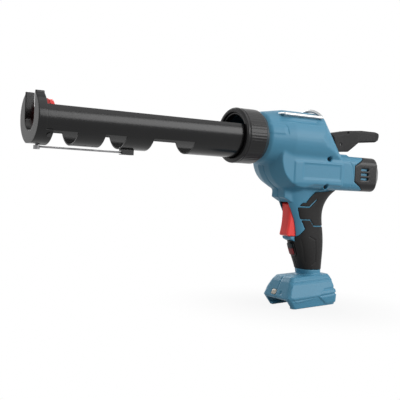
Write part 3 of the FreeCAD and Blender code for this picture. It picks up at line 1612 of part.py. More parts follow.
def pieces():
    """Every piece by its name."""
    shell = housing()
    pads = grip()
    made = {
        "cradle": cradle(), "nose_plate": nose_plate(), "nose_screws": nose_screws(),
        "wire_pivot": wire_pivot(), "piercing_wire": piercing_wire(), "wire_clip": wire_clip(),
        "rack_rod": rack_rod(), "pusher": pusher(), "pusher_screw": pusher_screw(),
        "pull_handle": pull_handle(), "handle_pin": handle_pin(),
        "collar": collar(), "front_sleeve": front_sleeve(),
        "front_bush": front_bush(), "rear_bush": rear_bush(),
        "left_frame": gear_frame(-1), "right_frame": gear_frame(1), "frame_pillars": frame_pillars(),
        "rack_pinion": rack_pinion(), "pinion_shaft": pinion_shaft(),
        "drive_pinion": drive_pinion(), "cross_shaft": cross_shaft(), "shaft_bearings": shaft_bearings(),
        "bevel_gear": bevel_gear(), "clutch_unit": clutch_unit(), "bevel_pinion": bevel_pinion(),
        "output_bearing": output_bearing(), "ring_gear": ring_gear(),
        "carrier_1": carrier_1(), "carrier_2": carrier_2(), "motor_sun": motor_sun(),
        "motor_can": motor_can(), "motor_end_bell": motor_end_bell(), "motor_bearings": motor_bearings(),
        "motor_shaft": motor_shaft(), "armature": armature(), "fan": fan(),
        "left_housing": half_of(shell, -1), "right_housing": half_of(shell, 1),
        "left_grip": pads.common(half_space(-1)), "right_grip": pads.common(half_space(1)),
        "rear_cap": rear_cap(), "cap_screws": cap_screws(), "housing_screws": housing_screws(),
        "hang_bail": hang_bail(), "trigger": trigger(), "switch_unit": switch_unit(),
        "lock_bezel": lock_bezel(), "lock_button": lock_button(),
        "terminal_block": terminal_block(), "battery_contacts": battery_contacts(),
        "control_board": control_board(), "led_lens": led_lens(),
        "leads": Part.makeCompound([motor_leads(), supply_leads()]),
    }
    for stage, stage_x in ((1, stage_1_x), (2, stage_2_x)):
        for index, turn in enumerate(planet_places()):
            made["planet_%d_%d" % (stage, index + 1)] = planet(stage_x, turn)
    return made


def main():
    """Write one file for each piece, with the battery rail at the origin."""
    os.makedirs("parts", exist_ok=True)
    to_origin = vec(-foot_x, 0, foot_drop)
    for name, shape in pieces().items():
        placed = shape.translated(to_origin)
        if not placed.isValid():
            print("not valid:", name)
        print(name, len(placed.Solids), round(placed.Volume))
        placed.exportStep("parts/%s.step" % name)


if __name__ == "__main__":
    main()
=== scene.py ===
"""Studio scene of a cordless caulking tool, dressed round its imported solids.

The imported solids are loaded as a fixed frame. Moulded pieces are replaced by softened skins that are worked
out from those solids, small trim is added as numpy surfaces, and every piece gets a procedural finish.
Lengths are metres in the frame of the solids: +X runs from the nozzle slot to the rear, +Y to the user's
right and +Z up. Places on the tool are given in millimetres from the nose plate's front and the barrel axis.
"""
from __future__ import annotations

import json
import logging
import math
from dataclasses import dataclass
from enum import Enum

import bmesh
import bpy
import numpy as np
from mathutils import Matrix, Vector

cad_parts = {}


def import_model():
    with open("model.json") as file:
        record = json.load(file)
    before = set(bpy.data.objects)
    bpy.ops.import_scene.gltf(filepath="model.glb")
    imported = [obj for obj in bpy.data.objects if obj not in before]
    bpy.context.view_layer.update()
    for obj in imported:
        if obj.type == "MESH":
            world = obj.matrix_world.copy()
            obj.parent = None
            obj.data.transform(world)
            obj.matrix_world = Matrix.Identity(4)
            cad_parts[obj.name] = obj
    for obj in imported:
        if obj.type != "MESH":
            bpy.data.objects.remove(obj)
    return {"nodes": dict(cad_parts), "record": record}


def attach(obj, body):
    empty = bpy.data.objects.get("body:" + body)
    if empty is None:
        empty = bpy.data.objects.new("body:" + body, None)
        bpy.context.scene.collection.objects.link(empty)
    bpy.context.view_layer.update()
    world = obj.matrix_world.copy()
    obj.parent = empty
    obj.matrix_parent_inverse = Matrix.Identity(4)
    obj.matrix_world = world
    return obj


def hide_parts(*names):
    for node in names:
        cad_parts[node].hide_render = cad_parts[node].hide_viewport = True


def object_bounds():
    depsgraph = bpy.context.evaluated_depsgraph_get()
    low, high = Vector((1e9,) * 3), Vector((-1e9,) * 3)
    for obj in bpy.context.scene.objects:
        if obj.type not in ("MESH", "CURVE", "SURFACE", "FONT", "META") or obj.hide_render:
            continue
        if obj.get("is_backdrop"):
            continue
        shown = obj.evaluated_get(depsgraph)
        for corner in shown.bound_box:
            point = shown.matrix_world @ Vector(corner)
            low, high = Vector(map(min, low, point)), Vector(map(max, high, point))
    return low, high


LOG = logging.getLogger("caulking_tool")
MM = 0.001
TRIANGLE_LIMIT = 190000      # most triangles of one piece
MERGE_DISTANCE = 0.000002    # points nearer than this become one
WHITE = (1, 1, 1, 1)

# Battery rail from the nose plate's front and from the barrel axis, in millimetres
RAIL_X, RAIL_Z = 365.0, 206.0


def at(x: float, y: float, z: float) -> np.ndarray:
    """Place a point given in millimetres from the nose plate's front and the barrel axis.

    Args:
        x: Distance behind the nose plate's front.
        y: Distance to the user's right of the middle plane.
        z: Height above the barrel axis.

    Returns:
        The point in metres in the frame of the solids.
    """
    return np.array([x - RAIL_X, y, z + RAIL_Z]) * MM


AXIS_HEIGHT = at(0, 0, 0)[2]


class Surface(Enum):
    """How a finish breaks up on a small scale."""

    GRAINED = "grained"
    PEBBLED = "pebbled"
    POWDER = "powder"
    BRUSHED = "brushed"
    POLISHED = "polished"


class Side(Enum):
    """Side of the tool, with the sign of its Y."""

    LEFT = -1.0
    RIGHT = 1.0


RELIEF_SCALES = {Surface.GRAINED: 1700.0, Surface.PEBBLED: 1100.0, Surface.POWDER: 700.0,
                 Surface.BRUSHED: 1.0, Surface.POLISHED: 160.0}


def set_inputs(node: bpy.types.Node, **values: object) -> None:
    """Set sockets of a node by name, with an underscore for each space in the name."""
    for name, value in values.items():
        node.inputs[name.replace("_", " ")].default_value = value


def multiplied(tree: bpy.types.NodeTree, one: bpy.types.NodeSocket,
               other: bpy.types.NodeSocket) -> bpy.types.NodeSocket:
    """Multiply two sockets.

    Args:
        tree: Node tree to work in.
        one: The first socket.
        other: The second socket.

    Returns:
        Socket with the product.
    """
    product = tree.nodes.new("ShaderNodeMath")
    product.operation = "MULTIPLY"
    tree.links.new(one, product.inputs[0])
    tree.links.new(other, product.inputs[1])
    return product.outputs["Value"]


def colour_mix(tree: bpy.types.NodeTree, factor: bpy.types.NodeSocket) -> bpy.types.Node:
    """Add a node that mixes two colours.

    Args:
        tree: Node tree to work in.
        factor: Socket with the share of the second colour.

    Returns:
        The node, whose colours A and B are still to be set.
    """
    mix = tree.nodes.new("ShaderNodeMix")
    mix.data_type = "RGBA"
    tree.links.new(factor, mix.inputs["Factor"])
    return mix


@dataclass(frozen=True)
class Finish:
    """One procedural finish.

    Its name differs from the record's slots, because the frame already has a plain material for each slot.

    Attributes:
        name: Name of the material.
        colour: Linear base colour.
        roughness: Mean roughness.
        surface: Kind of small relief.
        mottle: Share by which the colour varies over the piece.
        relief: Height of the small relief in metres.
        metallic: 1 for bare metal.
        specular: Strength of the plain gloss.
        sheen: Soft light along the edges, for rubber.
        coat: Clear layer over the colour.
        wear: Share of pale wear along the edges.
        edge: Radius of the soft edge on plain solids, in metres.
        lower: Linear colour below the split, where a piece has two colours.
        split: Height of the split in metres.
    """

    name: str
    colour: tuple[float, float, float]
    roughness: float
    surface: Surface = Surface.GRAINED
    mottle: float = 0.06
    relief: float = 0.00004
    metallic: float = 0.0
    specular: float = 0.5
    sheen: float = 0.0
    coat: float = 0.0
    wear: float = 0.0
    edge: float = 0.0
    lower: tuple[float, float, float] | None = None
    split: float = 0.0

    SHEEN_ROUGHNESS = 0.4
    COAT_ROUGHNESS = 0.2
    CLOUD_SCALE = 26.0
    CLOUD_DETAIL = 4.0
    SPLIT_BLUR = 0.0012          # half width of the step between two colours, in metres
    WEAR_FROM, WEAR_FULL = 0.53, 0.62    # pointiness where wear starts and where it is full
    WEAR_GAIN, WEAR_LIFT = 2.2, 0.06     # how much paler the worn tone is
    GRAIN_DETAIL = 3.0
    BRUSH_STRETCH = (60.0, 1600.0, 1600.0)
    SMOOTHER, ROUGHER = 0.06, 0.08       # how far the roughness follows the relief, down and up
    LEAST_ROUGHNESS = 0.02
    BUMP_STRENGTH = 0.6
    EDGE_SAMPLES = 6

    def material(self) -> bpy.types.Material:
        """Build the material once and give it again on later calls.

        Returns:
            The Blender material of this finish.
        """
        found = bpy.data.materials.get(self.name)
        if found is not None:
            return found
        made = bpy.data.materials.new(self.name)
        made.use_nodes = True
        tree = made.node_tree
        shader = tree.nodes["Principled BSDF"]
        set_inputs(shader, Metallic=self.metallic, Specular_IOR_Level=self.specular, Sheen_Weight=self.sheen,
                   Sheen_Roughness=self.SHEEN_ROUGHNESS, Coat_Weight=self.coat,
                   Coat_Roughness=self.COAT_ROUGHNESS)
        place = tree.nodes.new("ShaderNodeTexCoord").outputs["Object"]
        height = self._relief(tree, place)
        tree.links.new(self._colour(tree, place), shader.inputs["Base Color"])
        tree.links.new(self._roughness(tree, height), shader.inputs["Roughness"])
        tree.links.new(self._normal(tree, height), shader.inputs["Normal"])
        return made

    def _colour(self, tree: bpy.types.NodeTree, place: bpy.types.NodeSocket) -> bpy.types.NodeSocket:
        """Vary the colour in broad soft clouds, and pale the edges where the finish wears.

        Args:
            tree: Node tree of the material.
            place: Socket with the place on the piece.

        Returns:
            Socket with the colour.
        """
        clouds = tree.nodes.new("ShaderNodeTexNoise")
        set_inputs(clouds, Scale=self.CLOUD_SCALE, Detail=self.CLOUD_DETAIL)
        tree.links.new(place, clouds.inputs["Vector"])
        mix = colour_mix(tree, clouds.outputs["Fac"])
        base = np.array(self.colour)
        set_inputs(mix, A=(*np.clip(base * (1 - self.mottle), 0, 1), 1),
                   B=(*np.clip(base * (1 + self.mottle), 0, 1), 1))
        result = mix.outputs["Result"]
        if self.wear:
            result = self._worn(tree, result, clouds.outputs["Fac"])
        if self.lower is not None:
            result = self._two_tone(tree, result, place)
        return result

    def _two_tone(self, tree: bpy.types.NodeTree, colour: bpy.types.NodeSocket,
                  place: bpy.types.NodeSocket) -> bpy.types.NodeSocket:
        """Change to the lower colour below the split, over a soft step.

        Args:
            tree: Node tree of the material.
            colour: Socket with the colour so far.
            place: Socket with the place on the piece.

        Returns:
            Socket with the colour of both parts.
        """
        parts = tree.nodes.new("ShaderNodeSeparateXYZ")
        tree.links.new(place, parts.inputs["Vector"])
        step = tree.nodes.new("ShaderNodeMapRange")
        set_inputs(step, From_Min=self.split - self.SPLIT_BLUR, From_Max=self.split + self.SPLIT_BLUR)
        tree.links.new(parts.outputs["Z"], step.inputs["Value"])
        mix = colour_mix(tree, step.outputs["Result"])
        set_inputs(mix, A=(*self.lower, 1))
        tree.links.new(colour, mix.inputs["B"])
        return mix.outputs["Result"]

    def _worn(self, tree: bpy.types.NodeTree, colour: bpy.types.NodeSocket,
              clouds: bpy.types.NodeSocket) -> bpy.types.NodeSocket:
        """Mix a paler tone into the colour where the surface is sharply convex.

        Args:
            tree: Node tree of the material.
            colour: Socket with the colour so far.
            clouds: Socket with the broad clouds, which break up the wear.

        Returns:
            Socket with the worn colour.
        """
        shape = tree.nodes.new("ShaderNodeNewGeometry")
        edge = tree.nodes.new("ShaderNodeMapRange")
        set_inputs(edge, From_Min=self.WEAR_FROM, From_Max=self.WEAR_FULL, To_Max=self.wear)
        tree.links.new(shape.outputs["Pointiness"], edge.inputs["Value"])
        mix = colour_mix(tree, multiplied(tree, edge.outputs["Result"], clouds))
        pale = np.clip(np.array(self.colour) * self.WEAR_GAIN + self.WEAR_LIFT, 0, 1)
        set_inputs(mix, B=(*pale, 1))
        tree.links.new(colour, mix.inputs["A"])
        return mix.outputs["Result"]

    def _relief(self, tree: bpy.types.NodeTree, place: bpy.types.NodeSocket) -> bpy.types.NodeSocket:
        """Make the small relief of the surface.

        Args:
            tree: Node tree of the material.
            place: Socket with the place on the piece.

        Returns:
            Socket with a height from 0 to 1.
        """
        scale = RELIEF_SCALES[self.surface]
        if self.surface is Surface.PEBBLED:
            cells = tree.nodes.new("ShaderNodeTexVoronoi")
            set_inputs(cells, Scale=scale)
            tree.links.new(place, cells.inputs["Vector"])
            return cells.outputs["Distance"]
        if self.surface is Surface.BRUSHED:
            stretch = tree.nodes.new("ShaderNodeMapping")
            set_inputs(stretch, Scale=self.BRUSH_STRETCH)
            tree.links.new(place, stretch.inputs["Vector"])
            place = stretch.outputs["Vector"]
        grain = tree.nodes.new("ShaderNodeTexNoise")
        set_inputs(grain, Scale=scale, Detail=self.GRAIN_DETAIL)
        tree.links.new(place, grain.inputs["Vector"])
        return grain.outputs["Fac"]

    def _roughness(self, tree: bpy.types.NodeTree, height: bpy.types.NodeSocket) -> bpy.types.NodeSocket:
        """Let the roughness follow the relief a little.

        Args:
            tree: Node tree of the material.
            height: Socket with the relief.

        Returns:
            Socket with the roughness.
        """
        spread = tree.nodes.new("ShaderNodeMapRange")
        set_inputs(spread, To_Min=max(self.roughness - self.SMOOTHER, self.LEAST_ROUGHNESS),
                   To_Max=min(self.roughness + self.ROUGHER, 1.0))
        tree.links.new(height, spread.inputs["Value"])
        return spread.outputs["Result"]

    def _normal(self, tree: bpy.types.NodeTree, height: bpy.types.NodeSocket) -> bpy.types.NodeSocket:
        """Raise the relief as bump, over a soft edge where the finish asks for one.

        Args:
            tree: Node tree of the material.
            height: Socket with the relief.

        Returns:
            Socket with the normal.
        """
        bump = tree.nodes.new("ShaderNodeBump")
        set_inputs(bump, Strength=self.BUMP_STRENGTH, Distance=self.relief)
        tree.links.new(height, bump.inputs["Height"])
        if self.edge:
            soft = tree.nodes.new("ShaderNodeBevel")
            soft.samples = self.EDGE_SAMPLES
            set_inputs(soft, Radius=self.edge)
            tree.links.new(soft.outputs["Normal"], bump.inputs["Normal"])
        return bump.outputs["Normal"]


BLUE = Finish("blue_moulding", (0.062, 0.225, 0.345), 0.42, Surface.GRAINED, 0.05, 0.00003, specular=0.30)
GRIP = Finish("pebbled_rubber", (0.012, 0.0115, 0.0115), 0.55, Surface.PEBBLED, 0.14, 0.00010, specular=0.16,
              sheen=0.02)
BLACK = Finish("black_moulding", (0.006, 0.006, 0.0065), 0.28, Surface.GRAINED, 0.08, 0.00003, specular=0.24,
               edge=0.0004)
RED = Finish("red_moulding", (0.80, 0.046, 0.040), 0.36, Surface.GRAINED, 0.05, 0.00002, specular=0.35,
             edge=0.0005)
COAT = Finish("black_powder_coat", (0.006, 0.006, 0.0065), 0.20, Surface.POWDER, 0.08, 0.00002, specular=0.25,
              wear=0.10, edge=0.0004)
OXIDE = Finish("blackened_steel", (0.018, 0.018, 0.019), 0.34, Surface.POLISHED, 0.08, 0.00001, specular=0.40,
               edge=0.0002)
NICKEL = Finish("nickel_plate", (0.47, 0.48, 0.485), 0.28, Surface.POLISHED, 0.03, 0.00001, metallic=1.0)
STEEL = Finish("machined_steel", (0.42, 0.42, 0.43), 0.30, Surface.BRUSHED, 0.06, 0.00001, metallic=1.0,
               edge=0.0002)
ZINC = Finish("zinc_plate", (0.19, 0.19, 0.195), 0.48, Surface.POLISHED, 0.06, 0.00001, metallic=1.0,
              edge=0.0002)
CAN = Finish("drawn_can_steel", (0.30, 0.30, 0.31), 0.36, Surface.BRUSHED, 0.06, 0.00001, metallic=1.0,
             edge=0.0002)
# The sleeve's dark teal is painted shade. It stands for the shaded gap between the collar and the drawn-in
# front rim of the case, where the sleeve shows through; it is not the sleeve's own alloy colour.
SHADE_SLEEVE = Finish("sleeve_painted_shade", (0.012, 0.030, 0.040), 0.42, Surface.POWDER, 0.06, 0.00003,
                specular=0.25)
BRONZE = Finish("bronze_and_brass", (0.55, 0.36, 0.14), 0.34, Surface.POLISHED, 0.06, 0.00001, metallic=1.0,
                edge=0.0002)
LENS = Finish("lamp_lens", (0.46, 0.42, 0.34), 0.16, Surface.POLISHED, 0.04, 0.00001, coat=0.6, edge=0.0004)
PULL = Finish("pull_moulding", (0.007, 0.007, 0.0075), 0.34, Surface.GRAINED, 0.08, 0.00004, specular=0.13)
LOCK = Finish("lock_moulding", (0.010, 0.016, 0.020), 0.34, Surface.GRAINED, 0.06, 0.00002, specular=0.20,
              edge=0.0005, lower=(0.21, 0.028, 0.032), split=at(0.0, 0.0, -135.0)[2])
BOARD = Finish("circuit_board", (0.03, 0.14, 0.06), 0.40, Surface.POWDER, 0.10, 0.00003)
SHEATH = Finish("wire_sheath", (0.05, 0.05, 0.055), 0.35, Surface.GRAINED, 0.05, 0.00001)

SLOT_FINISHES = {
    "blue_plastic": BLUE, "grip_rubber": GRIP, "black_plastic": BLACK, "red_plastic": RED,
    "black_paint": COAT, "black_oxide": OXIDE, "nickel": NICKEL, "steel": STEEL, "zinc": ZINC,
    "motor_steel": CAN, "sleeve_alloy": SHADE_SLEEVE, "bronze": BRONZE, "lens": LENS, "board": BOARD,
    "lead_sheath": SHEATH,
}
NODE_FINISHES = {"lock_button": LOCK}


def link(data: bpy.types.ID, name: str) -> bpy.types.Object:
    """Put a mesh, light or camera into the scene as an object at the origin.

    Args:
        data: The mesh, light or camera.
        name: Name of the object.

    Returns:
        The object.
    """
    made = bpy.data.objects.new(name, data)
    bpy.context.scene.collection.objects.link(made)
    return made


def settle(piece: bpy.types.Object, finish: Finish, body: str) -> None:
    """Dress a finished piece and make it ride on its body.

    Args:
        piece: The piece.
        finish: Its finish.
        body: Body that it rides on.
    """
    piece.data.materials.clear()
    piece.data.materials.append(finish.material())
    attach(piece, body)
    LOG.info("%s: %d faces", piece.name, len(piece.data.polygons))


def apply_modifiers(piece: bpy.types.Object) -> bpy.types.Mesh:
    """Give a piece the mesh that its modifiers make, and take the modifiers off.

    Args:
        piece: Object with modifiers.

    Returns:
        The new mesh.
    """
    graph = bpy.context.evaluated_depsgraph_get()
    made = bpy.data.meshes.new_from_object(piece.evaluated_get(graph))
    made.name = piece.name
    piece.modifiers.clear()
    piece.data = made
    return made


def merge(mesh: bpy.types.Mesh, turn_outwards: bool) -> None:
    """Join the points of a mesh that lie in the same place.

    Args:
        mesh: The mesh.
        turn_outwards: Whether its faces are turned to point outwards as well.
    """
    shape = bmesh.new()
    shape.from_mesh(mesh)
    bmesh.ops.remove_doubles(shape, verts=shape.verts, dist=MERGE_DISTANCE)
    if turn_outwards:
        bmesh.ops.recalc_face_normals(shape, faces=shape.faces)
    shape.to_mesh(mesh)
    shape.free()


def merged_copy(node: bpy.types.Object, name: str) -> bpy.types.Object:
    """Copy a solid's loose triangles and join them into one closed mesh.

    Args:
        node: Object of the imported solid.
        name: Name of the copy.

    Returns:
        The copy, at the origin.
    """
    mesh = node.data.copy()
    mesh.name = name
    merge(mesh, turn_outwards=False)
    return link(mesh, name)


def read_rows(items: bpy.types.bpy_prop_collection, key: str) -> np.ndarray:
    """Read a vector of every item.

    Args:
        items: Vertices or normals of a mesh.
        key: Name of the vector.

    Returns:
        Rows of x, y and z.
    """
    flat = np.empty(len(items) * 3, np.float32)
    items.foreach_get(key, flat)
    return flat.reshape(-1, 3).astype(float)


def read_points(mesh: bpy.types.Mesh) -> np.ndarray:
    """Read the vertices of a mesh as rows of x, y and z."""
    return read_rows(mesh.vertices, "co")


def read_normals(mesh: bpy.types.Mesh) -> np.ndarray:
    """Read the vertex normals of a mesh as rows of x, y and z."""
    return read_rows(mesh.vertex_normals, "vector")


def write_points(mesh: bpy.types.Mesh, points: np.ndarray) -> None:
    """Put new places into the vertices of a mesh."""
    mesh.vertices.foreach_set("co", points.astype(np.float32).ravel())
    mesh.update()


def relaxed(mesh: bpy.types.Mesh, points: np.ndarray, share: np.ndarray, rounds: int) -> np.ndarray:
    """Soften a surface: in each round a point goes a share of the way to the mean of its neighbours.

    Args:
        mesh: Mesh whose edges say which points are neighbours.
        points: Places of the points.
        share: Share for each point, from 0 to 1.
        rounds: Number of rounds.

    Returns:
        The new places.
    """
    flat = np.empty(len(mesh.edges) * 2, np.int32)
    mesh.edges.foreach_get("vertices", flat)
    one, other = flat[0::2], flat[1::2]
    count = len(points)
    near = np.maximum(np.bincount(one, minlength=count) + np.bincount(other, minlength=count), 1)
    moved = points.copy()
    for _ in range(rounds):
        total = np.stack([np.bincount(one, moved[other, k], count) + np.bincount(other, moved[one, k], count)
                          for k in range(3)], axis=1)
        moved += share[:, None] * (total / near[:, None] - moved)
    return moved


def line_distance(points: np.ndarray, path: np.ndarray) -> np.ndarray:
    """Distance of flat points from a bent line.

    Args:
        points: Rows of two coordinates.
        path: Corners of the line, rows of two coordinates.

    Returns:
        The distance of each point from the nearest stretch of the line.
    """
    start, run = path[:-1], np.diff(path, axis=0)
    offset = points[:, None, :] - start[None, :, :]
    along = np.clip(np.sum(offset * run, axis=2) / np.sum(run * run, axis=1), 0, 1)
    return np.linalg.norm(offset - along[..., None] * run, axis=2).min(axis=1)


def axis_distance(points: np.ndarray) -> np.ndarray:
    """Distance of points from the barrel axis."""
    return np.hypot(points[:, 1], points[:, 2] - AXIS_HEIGHT)


def drawn_in(points: np.ndarray, depth: np.ndarray) -> np.ndarray:
    """Move points straight towards the barrel axis.

    Args:
        points: Places of the points.
        depth: How far each point moves, in metres.

    Returns:
        The new places.
    """
    keep = 1 - depth / np.maximum(axis_distance(points), MM)
    moved = points.copy()
    moved[:, 1] *= keep
    moved[:, 2] = AXIS_HEIGHT + (moved[:, 2] - AXIS_HEIGHT) * keep
    return moved


def ring_surface(name: str, grid: np.ndarray) -> bpy.types.Object:
    """Make a surface from a grid of points whose columns close on themselves.

    Args:
        name: Name of the piece.
        grid: Points by row, column and coordinate. A row of equal points is a pole, and is merged.

    Returns:
        The piece, at the origin.
    """
    index = np.arange(grid.shape[0] * grid.shape[1]).reshape(grid.shape[:2])
    near, far = index[:-1], index[1:]
    faces = np.stack([near, np.roll(near, -1, 1), np.roll(far, -1, 1), far], axis=-1).reshape(-1, 4)
    mesh = bpy.data.meshes.new(name)
    mesh.from_pydata(grid.reshape(-1, 3).tolist(), [], faces.tolist())
    merge(mesh, turn_outwards=True)
    return link(mesh, name)


@dataclass(frozen=True)
class StarHead:
    """The top of a screw head with a six-pointed recess.

    Attributes:
        name: Name of the piece.
        place: Middle of the solid head's face, in millimetres on the tool.
        out: Direction out of the head.
        radius: Radius in metres.
        rise: Height above the solid head in metres.
    """

    name: str
    place: tuple[float, float, float]
    out: tuple[float, float, float]
    radius: float
    rise: float = 0.0009

    COLUMNS = 72
    POINTS = 6
    STAR, SWING, LAND = 0.50, 0.15, 0.02     # star's mean radius, its swing and the flat round it, as shares
    RIM = ((1.0, 0.0), (1.0, 0.45), (0.93, 0.80), (0.78, 0.97))      # shares of the radius and of the rise
    RECESS = ((1.0, 0.93), (0.94, 0.12), (0.0, 0.10))                # shares of the star and of the rise

    def build(self) -> None:
        """Turn rings round the axis: a rounded rim, a star and its floor.

        The star's radius is its mean radius, times one plus a swing by the cosine of six times the turn.
        """
        turn = np.linspace(0, 2 * math.pi, self.COLUMNS, endpoint=False)
        star = self.STAR * (1 + self.SWING * np.cos(self.POINTS * turn))
        rows = [(np.full_like(turn, share), level) for share, level in self.RIM]
        rows += [(star + self.LAND, 1.0)]
        rows += [(share * star, level) for share, level in self.RECESS]
        reach = np.stack([row for row, _ in rows]) * self.radius
        height = np.array([level for _, level in rows])[:, None] * self.rise
        out = np.array(self.out)
        side = np.cross(out, (0.0, 0.0, 1.0))
        up = np.cross(side, out)
        ring = np.cos(turn)[:, None] * side + np.sin(turn)[:, None] * up
        grid = at(*self.place) + reach[..., None] * ring + height[..., None] * out
        settle(ring_surface(self.name, grid), OXIDE, "housing")


@dataclass(frozen=True)
class Dimple:
    """The shallow dish beside the lamp, which floors a hole in the case.

    Attributes:
        name: Name of the piece.
        place: Its middle, in millimetres on the tool.
        radius: Its radius in metres.
        near: Inner radius of the ring of case points round it.
        far: Outer radius of that ring.
        behind: How far behind the middle a point of the ring may lie.
        sink: Depth of the dish's edge behind the case's front.
        bowl: Further depth of its middle.
    """

    name: str = "lamp_dimple"
    place: tuple[float, float, float] = (327.8, -8.5, -189.4)
    radius: float = 0.0024
    near: float = 0.0026
    far: float = 0.0042
    behind: float = 0.006
    sink: float = 0.0004
    bowl: float = 0.0007

    FITS = 2
    ROWS, COLUMNS = 9, 48

    def build(self, case: bpy.types.Object) -> None:
        """Lay the dish behind a plane through the case's front.

        The plane is fitted to the ring of case points twice, the second time only to the points in front of
        the first plane. The dish's depth behind it falls with the square of the radius.

        Args:
            case: Skin of the half that has the dimple.
        """
        middle = at(*self.place)
        points = read_points(case.data)
        away = np.hypot(points[:, 1] - middle[1], points[:, 2] - middle[2])
        ring = points[(away > self.near) & (away < self.far) & (points[:, 0] < middle[0] + self.behind)]
        for _ in range(self.FITS):
            terms = np.column_stack([np.ones(len(ring)), ring[:, 1:]])
            plane = np.linalg.lstsq(terms, ring[:, 0], rcond=None)[0]
            ring = ring[ring[:, 0] <= terms @ plane]
        turn = np.linspace(0, 2 * math.pi, self.COLUMNS, endpoint=False)
        share = np.linspace(1, 0, self.ROWS)[:, None]
        y = middle[1] + self.radius * share * np.cos(turn)
        z = middle[2] + self.radius * share * np.sin(turn)
        x = plane[0] + plane[1] * y + plane[2] * z + self.sink + self.bowl * (1 - share ** 2)
        piece = ring_surface(self.name, np.stack([x, y, z], axis=-1))
        piece.data.shade_smooth()
        settle(piece, BLUE, "housing")


@dataclass(frozen=True)
class Groove:
    """A line pressed into one side of a skin.

    Attributes:
        path: Its corners (x, z), in millimetres on the tool.
        width: Half width in metres.
        depth: Depth in metres.
    """

    path: tuple[tuple[float, float], ...]
    width: float
    depth: float

    FACING_FROM, FACING_GAIN = 0.25, 3.0     # how far a normal turns to the side before the groove is pressed

    def pressed(self, points: np.ndarray, normals: np.ndarray, side: Side) -> np.ndarray:
        """Push the points near the line inwards, by a bell curve of their distance from it.

        Args:
            points: Places of the points.
            normals: Outward normals of the points.
            side: Side of the tool that is pressed.

        Returns:
            The new places.
        """
        corners = np.array([at(x, 0, z)[[0, 2]] for x, z in self.path])
        away = line_distance(points[:, [0, 2]], corners)
        facing = np.clip((normals[:, 1] * side.value - self.FACING_FROM) * self.FACING_GAIN, 0, 1)
        push = self.depth * np.exp(-(away / self.width) ** 2) * facing
        return points - normals * push[:, None]


@dataclass
class Skin:
    """A softened skin that stands for one moulded solid.

    Attributes:
        node: Name of the solid.
        piece: Name of the skin.
        body: Body that it rides on.
        slot: Material slot of the record; not used.
        finish: Its finish.
        cell: Size of the cells that the solid is rebuilt in, in metres.
        rounds: Rounds of softening.
        grooves: Lines pressed into its side.
        side: Side of the tool for the grooves.
        share: Share of the way to its neighbours that a point goes in each round.
    """

    node: str
    piece: str
    body: str
    slot: str
    finish: Finish
    cell: float
    rounds: int
    grooves: tuple[Groove, ...] = ()
    side: Side = Side.LEFT
    share: float = 0.5

    def softness(self, points: np.ndarray) -> np.ndarray:
        """Share of softening for each point, the same all over."""
        return np.full(len(points), self.share)

    def shaped(self, points: np.ndarray) -> np.ndarray:
        """Form the softened points further; a plain skin leaves them where they are."""
        return points

    def build(self, nodes: dict[str, bpy.types.Object]) -> bpy.types.Object:
        """Rebuild the solid in small cells, soften it, press its grooves and thin it where it is too dense.

        Args:
            nodes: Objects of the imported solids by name.

        Returns:
            The finished piece.
        """
        piece = merged_copy(nodes[self.node], self.piece)
        cells = piece.modifiers.new("cells", "REMESH")
        cells.mode = "VOXEL"
        cells.voxel_size = self.cell
        cells.use_smooth_shade = True
        mesh = apply_modifiers(piece)
        points = read_points(mesh)
        points = relaxed(mesh, points, self.softness(points), self.rounds)
        write_points(mesh, self.shaped(points))
        for groove in self.grooves:
            write_points(mesh, groove.pressed(read_points(mesh), read_normals(mesh), self.side))
        self.thin(piece)
        settle(piece, self.finish, self.body)
        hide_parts(self.node)
        return piece

    def thin(self, piece: bpy.types.Object) -> None:
        """Collapse edges until the piece is under the limit of triangles.

        Args:
            piece: The skin's object.
        """
        triangles = len(piece.data.loops) - 2 * len(piece.data.polygons)
        if triangles > TRIANGLE_LIMIT:
            fewer = piece.modifiers.new("fewer", "DECIMATE")
            fewer.ratio = TRIANGLE_LIMIT / triangles
            apply_modifiers(piece).shade_smooth()


@dataclass(frozen=True)
class SoftBand:
    """A level band where two cases run into each other and the softening is stronger.

    Attributes:
        x: Its middle along the tool, in millimetres.
        z: Its height on the tool, in millimetres.
        half_length: Half its length in millimetres.
        half_height: Half its height in millimetres.
        share: Share of softening that it adds at its middle.
    """

    x: float
    z: float
    half_length: float
    half_height: float
    share: float

    def added(self, x: np.ndarray, z: np.ndarray) -> np.ndarray:
        """Share that is added to each point: a bell curve of its height times a flatter one of its length.

        Args:
            x: Places along the tool, in millimetres.
            z: Heights on the tool, in millimetres.

        Returns:
            The added share of each point.
        """
        level = np.exp(-((z - self.z) / self.half_height) ** 2)
        return self.share * level * np.exp(-((x - self.x) / self.half_length) ** 4)


